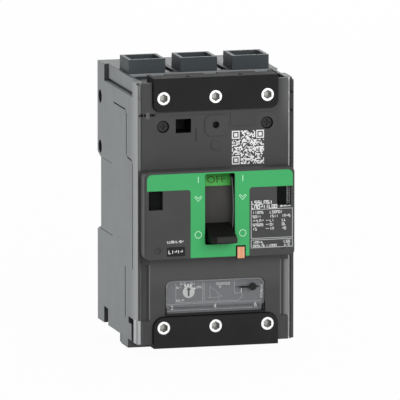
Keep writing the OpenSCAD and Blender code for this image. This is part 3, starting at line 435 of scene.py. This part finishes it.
special["front_cover"] = moulded(
    "cover_plastic", DARK, 0.55, 0.22, 0.07, 0.035, 1.6, patches=(
        # Painted shade in the screw wells, the outer side faces painted pale as a highlight, and the lower
        # left corner
        (cover_screw(3.2), srgb(16, 16, 16)),
        (away_from("x", 0, 40.47), srgb(196, 198, 199)),
        (boxed(x=(-41, -38), z=(-67, -54.2)), srgb(184, 186, 187)),
        # Painted highlights on the left rim and in the grooves beside both rims
        (boxed(x=(-40.2, -39), y=RIM_FACE, z=(22.5, 67)), srgb(118, 119, 119)),
        (boxed(x=(-39.15, -38.05), y=(-80.1, -78.7)), srgb(140, 141, 141)),
        (boxed(x=(38.05, 39.05), y=(-80, -78.7)), srgb(240, 240, 240)),
        # Face: painted light at the upper right corner and below the band, and painted shade below the
        # settings window
        (both(ramp("x", 33, 38.1), ramp("z", 36, 56), boxed(x=(33, 38.2), y=FACE)), srgb(102, 103, 103)),
        (both(ramp("z", -42, -34), boxed(x=(-33.8, 33.8), y=FACE_SKIN, z=(-44, -22))), srgb(80, 80, 80)),
        (boxed(x=(-26.3, 26.3), y=FACE, z=(-53.4, -51.5)), srgb(34, 34, 34)),
        # Painted highlights on the stepped borders beside the settings window
        (twins((33.8, 34.5), y=(-80.1, -79.6), z=(-54, -26)), srgb(106, 107, 107)),
        (both(ramp("x", 35.6, 38.4), boxed(x=(34.5, 38.6), y=(-80.1, -78), z=(-54.6, -26))),
         srgb(168, 169, 169)),
        # Painted shade on the walls of the settings window, with its right wall painted lighter as lit
        (boxed(x=(-26.3, 26.3), y=BELOW_FACE, z=(-54.5, -31)), srgb(14, 14, 14)),
        (boxed(x=(25.9, 26.3), y=BELOW_FACE, z=(-47, -31)), srgb(104, 105, 105)),
        # Painted shade on the right rim; the slots at the upper left, with a paler face between them and
        # painted shade in them; painted shade in the square opening
        (boxed(x=(39, 40.4), y=RIM_FACE, z=(22.5, 67)), srgb(57, 57, 57)),
        (boxed(x=(-35.85, -34.1), y=FACE_SKIN, z=(48.2, 51.4)), srgb(98, 99, 99)),
        (boxed(x=(-40.2, -31.2), y=(-79.9, -78.5), z=(49.4, 51)), srgb(14, 14, 14)),
        (boxed(x=(-20.6, -12.4), y=(-79.2, -66), z=(40.2, 47.7)), srgb(10, 10, 10)),
    ))
special["fascia_band"] = moulded(
    "band_plastic", DARK, 0.55, 0.22, 0.07, 0.035, 1.6, patches=(
        # Left side, painted lighter as a highlight
        (boxed(x=(-40, -38.2), y=(-88.6, -79)), srgb(104, 105, 104)),
    ))
special["trip_button"] = moulded(
    "button_orange", srgb(236, 166, 126), 0.42, 0.3, 0.03, 0.012, 1.1, patches=(
        # Painted shade on the shank, the sides and the top edge
        (over("y", -88.6), srgb(16, 15, 14)),
        (away_from("x", 10.8, 1.85), srgb(20, 18, 16)),
        (over("z", -17.1), srgb(20, 18, 16)),
    ))
special["settings_panel"] = moulded(
    "panel_grey", srgb(123, 125, 128), 0.5, 0.25, 0.05, 0.02, 1.2, patches=(
        # Lower corners, and painted shade along the left border
        (twins((24.85, 30), z=(-60, -48.5)), srgb(24, 25, 25)),
        (boxed(x=(-30, -25.05)), srgb(30, 31, 31)),
    ))
# Black all over as painted shade round the heads in their wells; the heads keep their own dark tone
special["cover_screws"] = moulded(
    "burnished_and_shaded", srgb(18, 18, 18), 0.45, 0.2, 0.1, 0.02, 1.3, patches=(
        # Heads
        (cover_screw(2.35), srgb(50, 50, 49)),
    ))
special["toggle_lever"] = moulded(
    "lever_black", srgb(18, 18, 17), 0.55, 0.12, 0.08, 0.012, 1.8, patches=(
        # Tip face, painted lighter as lit
        (boxed(x=(-3.8, 7), y=(lever_tip - 0.1, lever_tip + 1.3)), srgb(54, 54, 52)),
    ))
special["setting_dial"] = moulded(
    "dial_white", srgb(214, 215, 213), 0.45, 0.3, 0.03, 0.015, 1.05, patches=(
        # Painted shade on the sunk arrow and the sides
        (boxed(y=(dial_front + 0.1, dial_front + 1.0)), srgb(92, 94, 96)),
    ))
special["toggle_shutter"] = moulded("shutter_dark", srgb(65, 64, 62), 0.55, 0.18, 0.07, 0.02, 1.3)
special["accessory_shutters"] = moulded("deep_black", srgb(14, 15, 15), 0.6, 0.06, 0.1, 0.02, 1.6)
for place, tone in (("upper", 40), ("lower", 44)):
    special[place + "_terminal_block"] = moulded(
        place + "_block_black", srgb(tone, tone, tone), 0.66, 0.08, 0.08, 0.02, 1.5)
for end in ("line", "load"):
    special[end + "_terminal_screws"] = plated(
        end + "_screw_zinc", srgb(246, 247, 247), 0.34, (600, 600, 600), 0.97, patches=(
            # Painted shade in the sockets, less of it in the middle
            (screw_socket(2.4), srgb(134, 134, 131)),
            (screw_socket(1.2), srgb(170, 170, 166)),
        ))

for part in frame["record"]["subparts"]:
    node = part["node"]
    mesh = frame["nodes"][node].data
    mesh.materials.clear()
    mesh.materials.append(special[node] if node in special else finishes[part["material_slot"]])


# Thin outlines and lettering laid on a plane that faces the front, in mm

SINK = 0.01
INK_THICK = 0.05
FIGURE_THICK = 0.06
RING_POINTS = 48
CURVE_POINTS = 4


def finish_piece(name, shape, material, body):
    """Makes an object of a mesh under way, which rides on a body."""
    data = bpy.data.meshes.new(name)
    shape.to_mesh(data)
    shape.free()
    data.materials.append(material)
    piece = bpy.data.objects.new(name, data)
    scene.collection.objects.link(piece)
    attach(piece, body)
    return piece


def layer(name, outlines, front, material, body="case", thick=INK_THICK):
    """Outlines of (x, z), counter-clockwise seen from the front, laid on the plane y = front."""
    shape = bmesh.new()
    for outline in outlines:
        near = [shape.verts.new((x * MM, (front - thick) * MM, z * MM)) for x, z in outline]
        far = [shape.verts.new((x * MM, (front + SINK) * MM, z * MM)) for x, z in outline]
        shape.faces.new(near)
        shape.faces.new(far[::-1])
        for i in range(len(outline)):
            j = (i + 1) % len(outline)
            shape.faces.new((near[j], near[i], far[i], far[j]))
    bmesh.ops.recalc_face_normals(shape, faces=shape.faces)
    return finish_piece(name, shape, material, body)


def bar(low, high):
    (x0, z0), (x1, z1) = low, high
    return [(x0, z0), (x1, z0), (x1, z1), (x0, z1)]


def stroke(points, width, closed=False):
    """Bands of one width along a line of points, mitred where they meet."""
    count = len(points)
    sides = []
    for i, (x, z) in enumerate(points):
        ahead = points[(i + 1) % count] if closed or i + 1 < count else None
        behind = points[i - 1] if closed or i else None
        ways = []
        for a, b in ((behind, (x, z)), ((x, z), ahead)):
            if a and b:
                length = math.hypot(b[0] - a[0], b[1] - a[1])
                ways.append(((b[0] - a[0]) / length, (b[1] - a[1]) / length))
        normal = (-sum(w[1] for w in ways), sum(w[0] for w in ways))
        length = math.hypot(*normal)
        normal = (normal[0] / length, normal[1] / length)
        lean = -ways[0][1] * normal[0] + ways[0][0] * normal[1]
        half = width / 2 / lean
        left = (x + normal[0] * half, z + normal[1] * half)
        right = (x - normal[0] * half, z - normal[1] * half)
        sides.append((left, right))
    bands = []
    for i in range(count if closed else count - 1):
        (left_a, right_a), (left_b, right_b) = sides[i], sides[(i + 1) % count]
        bands.append([right_a, right_b, left_b, left_a])
    return bands


def arc(x, z, radius, turns):
    return [(x + radius * math.cos(turn), z + radius * math.sin(turn)) for turn in turns]


def ring(x, z, radius, width):
    turns = [2 * math.pi * i / RING_POINTS for i in range(RING_POINTS)]
    return stroke(arc(x, z, radius, turns), width, closed=True)


def lettering(name, words, height, depth):
    """A mesh of generic lettering, centred on its own origin, with the given cap height and depth."""
    curve = bpy.data.curves.new(name, "FONT")
    curve.body = words
    curve.align_x = "CENTER"
    curve.align_y = "CENTER"
    curve.resolution_u = CURVE_POINTS
    text = bpy.data.objects.new(name, curve)
    scene.collection.objects.link(text)
    shape = bmesh.new()
    shape.from_mesh(text.to_mesh())
    text.to_mesh_clear()
    bpy.data.objects.remove(text)
    bpy.data.curves.remove(curve)
    low = [min(v.co[i] for v in shape.verts) for i in range(2)]
    high = [max(v.co[i] for v in shape.verts) for i in range(2)]
    size = height * MM / (high[1] - low[1])
    for v in shape.verts:
        v.co = ((v.co.x - (low[0] + high[0]) / 2) * size, (v.co.y - (low[1] + high[1]) / 2) * size, 0)
    raised = bmesh.ops.extrude_face_region(shape, geom=list(shape.faces))["geom"]
    for part in raised:
        if isinstance(part, bmesh.types.BMVert):
            part.co.z += depth * MM
    bmesh.ops.recalc_face_normals(shape, faces=shape.faces)
    return shape


def flat_word(name, words, x, z, height, front, material):
    """Lettering laid on the plane y = front."""
    shape = lettering(name, words, height, FIGURE_THICK)
    for v in shape.verts:
        v.co = (x * MM + v.co.x, (front + SINK) * MM - v.co.z, z * MM + v.co.y)
    return finish_piece(name, shape, material, "case")


# Made-up strokes that stand for small print

GLYPHS = (
    ([(0, 0), (1, 0), (1, 1), (0, 1)], True),
    ([(0, 1), (0, 0), (1, 0)], False),
    ([(0, 0), (0, 1), (1, 1), (1, 0)], False),
    ([(0.5, 0), (0.5, 1)], False),
    ([(1, 1), (0, 1), (0, 0.5), (1, 0.5), (1, 0), (0, 0)], False),
    ([(0, 0.5), (1, 0.5), (1, 1)], False),
)
GLYPH_WIDTH = 0.62
GLYPH_SPACE = 0.32
WIDE_SPACE = 0.5


def marks(x0, x1, z, height, width, seed, space=GLYPH_SPACE):
    """A row of strokes from x0 to x1, centred on a height, drawn with a line of the given width."""
    pick = random.Random(seed)
    row = []
    wide = height * GLYPH_WIDTH
    while x0 + wide <= x1:
        points, closed = pick.choice(GLYPHS)
        row += stroke([(x0 + a * wide, z + (b - 0.5) * height) for a, b in points], width, closed)
        x0 += wide + height * space
    return row


def print_rows(rows):
    """Strokes of several rows, each with what marks() takes."""
    return [outline for row in rows for outline in marks(*row)]


# Planes that the prints sit on, in mm

DIAL_RISE = 0.4

cover_y = front_of("settings_flap")
band_y = front_of("fascia_band")
bezel_y = front_of("green_bezel")
plate_y = front_of("rating_plate")
pocket_y = front_of("accessory_shutters")
button_y = front_of("trip_button")
panel_y = dial_front + DIAL_RISE


# Block code on the cover: a seeded scatter with three corner squares, which holds no message

CODE_SEED = 7
CODE_SHARE = 0.5
CODE_CORNER = 7
CODE_COUNT = 29
CODE_LOW = (8.7, 23.3)
CODE_HIGH = (25.4, 40.4)


def code_cells(count):
    """Rows of filled and empty cells."""
    pick = random.Random(CODE_SEED)
    filled = [[pick.random() < CODE_SHARE for _ in range(count)] for _ in range(count)]
    last = count - CODE_CORNER
    middle = CODE_CORNER // 2
    for left, foot in ((0, 0), (0, last), (last, last)):
        for i in range(-1, CODE_CORNER + 1):
            for j in range(-1, CODE_CORNER + 1):
                column = left + i
                row = foot + j
                if 0 <= column < count and 0 <= row < count:
                    away = max(abs(i - middle), abs(j - middle))
                    filled[row][column] = away in (0, 1, middle)
    return filled


def code_bars(filled, low, high):
    """One bar for each run of filled cells."""
    count = len(filled)
    cell_x = (high[0] - low[0]) / count
    cell_z = (high[1] - low[1]) / count
    runs = []
    for row in range(count):
        column = 0
        while column < count:
            start = column
            while column < count and filled[row][column]:
                column += 1
            if column > start:
                runs.append(bar((low[0] + start * cell_x, low[1] + row * cell_z),
                                (low[0] + column * cell_x, low[1] + (row + 1) * cell_z)))
            column += 1
    return runs


code = code_bars(code_cells(CODE_COUNT), CODE_LOW, CODE_HIGH)
layer("block_code", code, cover_y, bright_ink)


# Switch symbols on the bezel legs

LEG_X = (-11.3, 11.8)
CHEVRON = ((0, -1.2), (1.8, 0.85), (1.25, 1.4), (0, 0.15), (-1.25, 1.4), (-1.8, 0.85))
CHEVRON_Z = 8.1
CHEVRON_LINE = 0.34
ON_BAR = ((-0.22, 16.3), (0.22, 19.4))
OFF_Z = -10.1
OFF_RADIUS = 1.68
OFF_LINE = 0.4

symbols = []
for leg in LEG_X:
    symbols.append(bar(*[(leg + x, z) for x, z in ON_BAR]))
    symbols += stroke([(leg + x, CHEVRON_Z + z) for x, z in CHEVRON], CHEVRON_LINE, closed=True)
    symbols += ring(leg, OFF_Z, OFF_RADIUS, OFF_LINE)
layer("switch_symbols", symbols, bezel_y, mint_ink)


# Plain tables of small print on the band, with rows of x0, x1, z, height, line and seed

TABLE_BOXES = (
    ((16.2, -13.2), (37.7, 1.5)),
    ((16.2, -18.0), (37.7, -14.0)),
)
TABLE_LINE = 0.4
HEADINGS = (
    (16.5, 28.6, 4.95, 1.7, 0.42, 3),
    (16.5, 29.8, 2.75, 1.6, 0.42, 4),
)
SIDE_NOTE = (31.4, 36.9, 2.7, 0.8, 0.22, 5)
TABLE = (
    (-0.1, ((17.1, 22.9), (26.0, 33.3))),
    (-2.2, ((17.1, 21.5), (26.0, 31.2), (32.3, 37.5))),
    (-4.3, ((17.1, 23.2), (26.0, 28.8), (32.3, 35.2))),
    (-6.4, ((17.1, 23.2), (26.0, 28.1), (32.3, 34.2))),
    (-8.5, ((17.1, 20.0), (26.0, 27.9), (32.3, 34.2))),
    (-15.35, ((17.3, 23.2), (33.3, 36.9))),
    (-17.2, ((17.3, 29.4), (33.1, 37.1))),
)
ROW_HEIGHT = 1.2
ROW_LINE = 0.26
DASH_Z = (-4.2, -6.3, -8.4)
DASH_X = (23.8, 25.4)
DASH_HALF = 0.12

table_frames = [band for ends in TABLE_BOXES for band in stroke(bar(*ends), TABLE_LINE, closed=True)]
layer("table_frames", table_frames, band_y, soft_ink_and_highlight)
layer("table_headings", print_rows(HEADINGS), band_y, white_ink)
table_rows = marks(*SIDE_NOTE)
for i, (z, spans) in enumerate(TABLE):
    for j, (x0, x1) in enumerate(spans):
        table_rows += marks(x0, x1, z, ROW_HEIGHT, ROW_LINE, 10 * i + j)
for z in DASH_Z:
    table_rows.append(bar((DASH_X[0], z - DASH_HALF), (DASH_X[1], z + DASH_HALF)))
layer("table_rows", table_rows, band_y, white_ink)


# Current plate and the row of small print above it, with x0, x1, z, height, line and seed

PLATE_ROW = (-26.6, -19.0, -18.3, 1.6, 0.4, 21)
CAPTION_ROW = (-27.3, -18.6, -13.2, 1.0, 0.28, 22)

layer("plate_marks", marks(*PLATE_ROW), plate_y, white_ink)
layer("plate_caption", marks(*CAPTION_ROW), band_y, white_ink)


# Ribs at the outer end of the right accessory pocket

RAIL_X = (35.4, 36.7)
RAIL_HALF = 0.14
RAIL_Z = (3.3, 12.7)
RUNG = ((35.55, 3.9), (36.55, 4.2))
RUNG_COUNT = 9
RUNG_RISE = 0.3


def upright(middle, half, height):
    return bar((middle - half, height[0]), (middle + half, height[1]))


pocket_ribs = [upright(x, RAIL_HALF, RAIL_Z) for x in RAIL_X]
pocket_ribs += [bar(*[(x, z + i) for x, z in RUNG]) for i in range(RUNG_COUNT)]
layer("pocket_ribs", pocket_ribs, pocket_y, faint_ink, thick=RUNG_RISE)


# Scale, lines and small print on the settings panel

SCALE_DEGREES = (118, 92, 67, 27)
SCALE_REACH = (3.1, 4.05)
SCALE_LINE = 0.95
SCALE_TICK = ((14.05, -42.4), (14.5, -39.2))
FINE_LINE = 0.2
PLAIN_LINE = 0.24
PANEL_LINES = (
    (PLAIN_LINE, ((-19.9, -36.2), (-19.9, -46.4), (-6.0, -46.4))),
    (0.3, ((-5.9, -46.5), (-5.9, -36.2))),
    (PLAIN_LINE, ((-5.1, -36.6), (-5.1, -46.4), (12.6, -46.4), (14.6, -44.6), (14.6, -43.0))),
    (FINE_LINE, ((-2.1, -37.6), (-2.1, -44.2))),
    (FINE_LINE, ((-3.2, -44.4), (2.4, -44.4))),
    (FINE_LINE, ((-1.7, -39.0), (1.8, -41.9), (2.6, -43.2), (2.5, -46.2))),
    (FINE_LINE, ((-24.6, -47.1), (24.6, -47.1))),
    (PLAIN_LINE, ((-24.6, -50.4), (22.6, -50.4))),
    (PLAIN_LINE, ((10.6, -36.2), (10.6, -42.7), (14.2, -42.7))),
)
NOTE_LINE = 0.18
NOTES = (
    (-17.6, -14.2, -36.7, 0.9, NOTE_LINE, 31, WIDE_SPACE),
    (-12.4, -9.2, -36.8, 0.9, NOTE_LINE, 32, WIDE_SPACE),
    (-19.6, -17.0, -38.6, 0.9, NOTE_LINE, 33),
    (-9.0, -6.6, -38.8, 0.9, NOTE_LINE, 34),
    (-19.7, -15.4, -45.3, 0.9, NOTE_LINE, 35),
    (1.2, 8.1, -37.6, 1.1, NOTE_LINE, 36, WIDE_SPACE),
    (2.2, 4.0, -39.2, 0.8, NOTE_LINE, 37),
    (3.4, 4.6, -44.0, 0.8, NOTE_LINE, 38),
)
NOTE_COLUMN = tuple((24.2, 25.4, -39.2 - i, 0.7, NOTE_LINE, 40 + i) for i in range(7))
STRIPES = (
    ((11.1, -39.8), (13.8, -39.4)),
    ((14.7, -42.5), (15.0, -39.6)),
)

dial_low, dial_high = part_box("setting_dial")
dial_x = (dial_low.x + dial_high.x) / 2 / MM
dial_z = (dial_low.z + dial_high.z) / 2 / MM
scale = []
for degrees in SCALE_DEGREES:
    turn = math.radians(degrees)
    spots = [(dial_x + r * math.cos(turn), dial_z + r * math.sin(turn)) for r in SCALE_REACH]
    scale += stroke(spots, SCALE_LINE)
scale.append(bar(*SCALE_TICK))
layer("dial_scale", scale, panel_y, bright_ink)
panel_lines = [band for width, points in PANEL_LINES for band in stroke(points, width)]
layer("panel_frames", panel_lines, panel_y, soft_ink_and_highlight)
layer("panel_notes", print_rows(NOTES + NOTE_COLUMN), panel_y, white_ink)
layer("panel_stripes", [bar(*ends) for ends in STRIPES], panel_y, black_ink)


# Painted highlight along the edge of the clear flap, round at its two upper corners

FLAP_ROUND = 3.3
FLAP_LINE = 0.34
FLAP_INSET_X = 0.4
FLAP_INSET_Z = 0.2
CORNER_STEPS = 6

flap_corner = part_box("settings_flap")[1]
round_x = flap_corner.x / MM - FLAP_INSET_X - FLAP_ROUND
round_z = flap_corner.z / MM - FLAP_INSET_Z - FLAP_ROUND
flap_highlight_line = []
for way, start in ((-1, 180), (1, 90)):
    turns = [math.radians(start - 90 / CORNER_STEPS * i) for i in range(CORNER_STEPS + 1)]
    flap_highlight_line += arc(way * round_x, round_z, FLAP_ROUND, turns)
layer("flap_edge_highlight", stroke(flap_highlight_line, FLAP_LINE), cover_y, flap_highlight_ink, "settings_flap")


# Figures on the settings panel

FIGURES = (("2", -21.9), ("4", 0.4), ("6", 21.5))
FIGURE_Z = -48.75
FIGURE_HEIGHT = 2.2

for figure, x in FIGURES:
    flat_word("panel_figure_" + figure, figure, x, FIGURE_Z, FIGURE_HEIGHT,
              panel_y, white_ink)


# Grip ribs on the trip button

GRIP_X = (9.65, 11.95)
GRIP_HALF = 0.38
GRIP_Z = (-22.4, -17.6)
GRIP_RISE = 0.2

button_ribs = [upright(x, GRIP_HALF, GRIP_Z) for x in GRIP_X]
layer("button_ribs", button_ribs, button_y, peach_ink, "trip_button", GRIP_RISE)


# State words on the two flags of the handle, bent round its pivot

PIVOT = Vector((0, -50, 2.6)) * MM
FLAG_HEIGHT = 3.7
FLAG_THICK = 0.05
FLAG_STRETCH = 1.05
FLAG_CUTS = 5


def round_pivot(x, reach, turn):
    """A point in metres at a reach from the handle's pivot, with the turn counted up from the front."""
    return (x, PIVOT.y - reach * math.cos(turn), PIVOT.z + reach * math.sin(turn))


def flag_place(name):
    """Middle turn above the front and the outer reach of a flag on the shutter, in metres."""
    spots = [v.co - PIVOT for v in frame["nodes"][name].data.vertices]
    turns = [math.atan2(v.z, -v.y) for v in spots]
    return (min(turns) + max(turns)) / 2, max(math.hypot(v.y, v.z) for v in spots)


def flag_word(name, words, x, middle, radius, material):
    shape = lettering(name, words, FLAG_HEIGHT, FLAG_THICK)
    for i in range(-FLAG_CUTS, FLAG_CUTS + 1):
        level = FLAG_HEIGHT * MM * i / (2 * FLAG_CUTS + 1)
        bmesh.ops.bisect_plane(
            shape, geom=shape.verts[:] + shape.edges[:] + shape.faces[:],
            plane_co=(0, level, 0), plane_no=(0, 1, 0))
    for v in shape.verts:
        reach = radius - SINK * MM + v.co.z
        v.co = round_pivot(x * MM + v.co.x * FLAG_STRETCH, reach, middle + v.co.y / radius)
    return finish_piece(name, shape, material, "handle")


off_turn, flag_reach = flag_place("off_flag")
on_turn = flag_place("on_flag")[0]
flag_word("off_word", "OFF", 0.3, off_turn, flag_reach, olive_ink)
flag_word("on_word", "ON", 0.0, on_turn, flag_reach, white_ink)


# Swept pieces: a pale ridge beside the shutter that stands for a painted highlight, and smooth coils for two
# springs

RIDGE = ((7.5, 36.5), (7.81, 36.5), (7.81, 36.9), (7.5, 36.9))
COIL_STEPS = 32
WIRE_SIDES = 12


def swept(name, rounds, material, body):
    """A closed skin over rounds of points in metres, each with the same count."""
    shape = bmesh.new()
    rings = [[shape.verts.new(spot) for spot in points] for points in rounds]
    for first, second in zip(rings, rings[1:]):
        for i in range(len(first)):
            shape.faces.new((first[i], first[i - 1], second[i - 1], second[i]))
    shape.faces.new(rings[0])
    shape.faces.new(rings[-1][::-1])
    bmesh.ops.recalc_face_normals(shape, faces=shape.faces)
    return finish_piece(name, shape, material, body)


def coil(name, node, along, held, wire, turns):
    """A smooth coil in a node's place, with the node hidden."""
    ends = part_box(node)
    low, high = ends
    middle = (low + high) / 2
    length = high[along] - low[along]
    first, second = (i for i in range(3) if i != along)
    wire *= MM
    radius = (high[first] - low[first]) / 2 - wire
    rounds = []
    for i in range(turns * COIL_STEPS + 1):
        turn = 2 * math.pi * i / COIL_STEPS
        level = low[along] + wire + (length - 2 * wire) * i / (turns * COIL_STEPS)
        points = []
        for j in range(WIRE_SIDES):
            around = 2 * math.pi * j / WIRE_SIDES
            out = radius + wire * math.cos(around)
            spot = [0.0, 0.0, 0.0]
            spot[first] = middle[first] + out * math.cos(turn)
            spot[second] = middle[second] + out * math.sin(turn)
            spot[along] = level + wire * math.sin(around)
            points.append(spot)
        rounds.append(points)
    piece = swept(name, rounds, finishes["spring_steel"], "case")
    piece.data.polygons.foreach_set("use_smooth", [True] * len(piece.data.polygons))
    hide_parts(node)
    anchor = list(middle)
    anchor[along] = ends[held][along]
    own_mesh(piece)


# Pale ridge along the window's edge, a painted highlight
ridge = []
for degrees in range(-24, 25, 2):
    ridge.append([round_pivot(x * MM, r * MM, math.radians(degrees)) for x, r in RIDGE])
swept("window_ridge_highlight", ridge, soft_ink_and_highlight, "case")
coil("latch_coil", "rail_latch_spring", 2, 0, 0.3, 5)
coil("button_coil", "trip_button_spring", 1, 1, 0.25, 4)


# Camera

CAMERA_TURN = math.radians(14.85)
CAMERA_LIFT = math.radians(9.46)
CAMERA_REACH = 5.883
TARGET = Vector((-5.229, -70.0, 4.211)) * MM

toward = Vector((
    math.sin(CAMERA_TURN) * math.cos(CAMERA_LIFT),
    math.cos(CAMERA_TURN) * math.cos(CAMERA_LIFT),
    -math.sin(CAMERA_LIFT),
))
lens = bpy.data.cameras.new("camera")
lens.sensor_width = 36
lens.lens = 1051.9
lens.clip_start = 0.05
lens.clip_end = 50
camera = bpy.data.objects.new("camera", lens)
camera.location = TARGET - toward * CAMERA_REACH
camera.rotation_euler = toward.to_track_quat("-Z", "Y").to_euler()
scene.collection.objects.link(camera)
scene.camera = camera


# Lamps: place, width and power

LIT_SPOT = Vector((0, -0.045, 0))
LAMPS = {
    "key": ((0.35, -1.2, 0.45), 0.7, 5.6),
    "front_fill": ((-0.5, -1.4, 0.3), 0.9, 2.5),
    "top_fill": ((0.1, 0.1, 1.2), 0.8, 1.5),
    "rear_fill": ((0.4, 1.1, 0.5), 0.9, 3),
}
for name, (place, width, power) in LAMPS.items():
    light = bpy.data.lights.new(name, "AREA")
    light.shape = "DISK"
    light.size = width
    light.energy = power
    lamp = bpy.data.objects.new(name, light)
    lamp.location = place
    lamp.rotation_euler = (LIT_SPOT - Vector(place)).to_track_quat("-Z", "Y").to_euler()
    scene.collection.objects.link(lamp)


# Surroundings and floor

SKY_LIGHT = 0.42
FLOOR_SIZE = 20
FLOOR_DROP = 0.2 * MM
FLOOR_GREY = 0.85
FLOOR_GLOW = 0.97


def seen_directly(tree, low, high):
    """Low to high for the rays that show the background: from the camera, off gloss, through clear pieces."""
    path = tree.nodes.new("ShaderNodeLightPath")
    amount = path.outputs["Is Camera Ray"]
    for name in ("Is Glossy Ray", "Is Transmission Ray"):
        larger = tree.nodes.new("ShaderNodeMath")
        larger.operation = "MAXIMUM"
        tree.links.new(amount, larger.inputs[0])
        tree.links.new(path.outputs[name], larger.inputs[1])
        amount = larger.outputs[0]
    strength = tree.nodes.new("ShaderNodeMapRange")
    strength.inputs["To Min"].default_value = low
    strength.inputs["To Max"].default_value = high
    tree.links.new(amount, strength.inputs["Value"])
    return strength.outputs["Result"]


world = bpy.data.worlds.new("studio")
world.use_nodes = True
scene.world = world
tree = world.node_tree
tree.nodes.clear()
sky = tree.nodes.new("ShaderNodeBackground")
sky.inputs["Color"].default_value = (1, 1, 1, 1)
tree.links.new(seen_directly(tree, SKY_LIGHT, 1.0), sky.inputs["Strength"])
surroundings = tree.nodes.new("ShaderNodeOutputWorld")
tree.links.new(sky.outputs[0], surroundings.inputs[0])

floor_shape = bmesh.new()
bmesh.ops.create_grid(floor_shape, x_segments=1, y_segments=1, size=FLOOR_SIZE)
floor_data = bpy.data.meshes.new("floor")
floor_shape.to_mesh(floor_data)
floor_shape.free()
floor = bpy.data.objects.new("floor", floor_data)
floor.location.z = cad_box[0][2] - FLOOR_DROP
scene.collection.objects.link(floor)
paper = bpy.data.materials.new("paper")
paper.use_nodes = True
tree = paper.node_tree
tree.nodes.clear()
shade = tree.nodes.new("ShaderNodeBsdfDiffuse")
shade.inputs["Color"].default_value = (FLOOR_GREY, FLOOR_GREY, FLOOR_GREY, 1)
glow = tree.nodes.new("ShaderNodeEmission")
mixed = tree.nodes.new("ShaderNodeMixShader")
tree.links.new(seen_directly(tree, 0.0, FLOOR_GLOW), mixed.inputs[0])
tree.links.new(shade.outputs[0], mixed.inputs[1])
tree.links.new(glow.outputs[0], mixed.inputs[2])
paper_out = tree.nodes.new("ShaderNodeOutputMaterial")
tree.links.new(mixed.outputs[0], paper_out.inputs[0])
floor_data.materials.append(paper)

scene.view_settings.view_transform = "Standard"
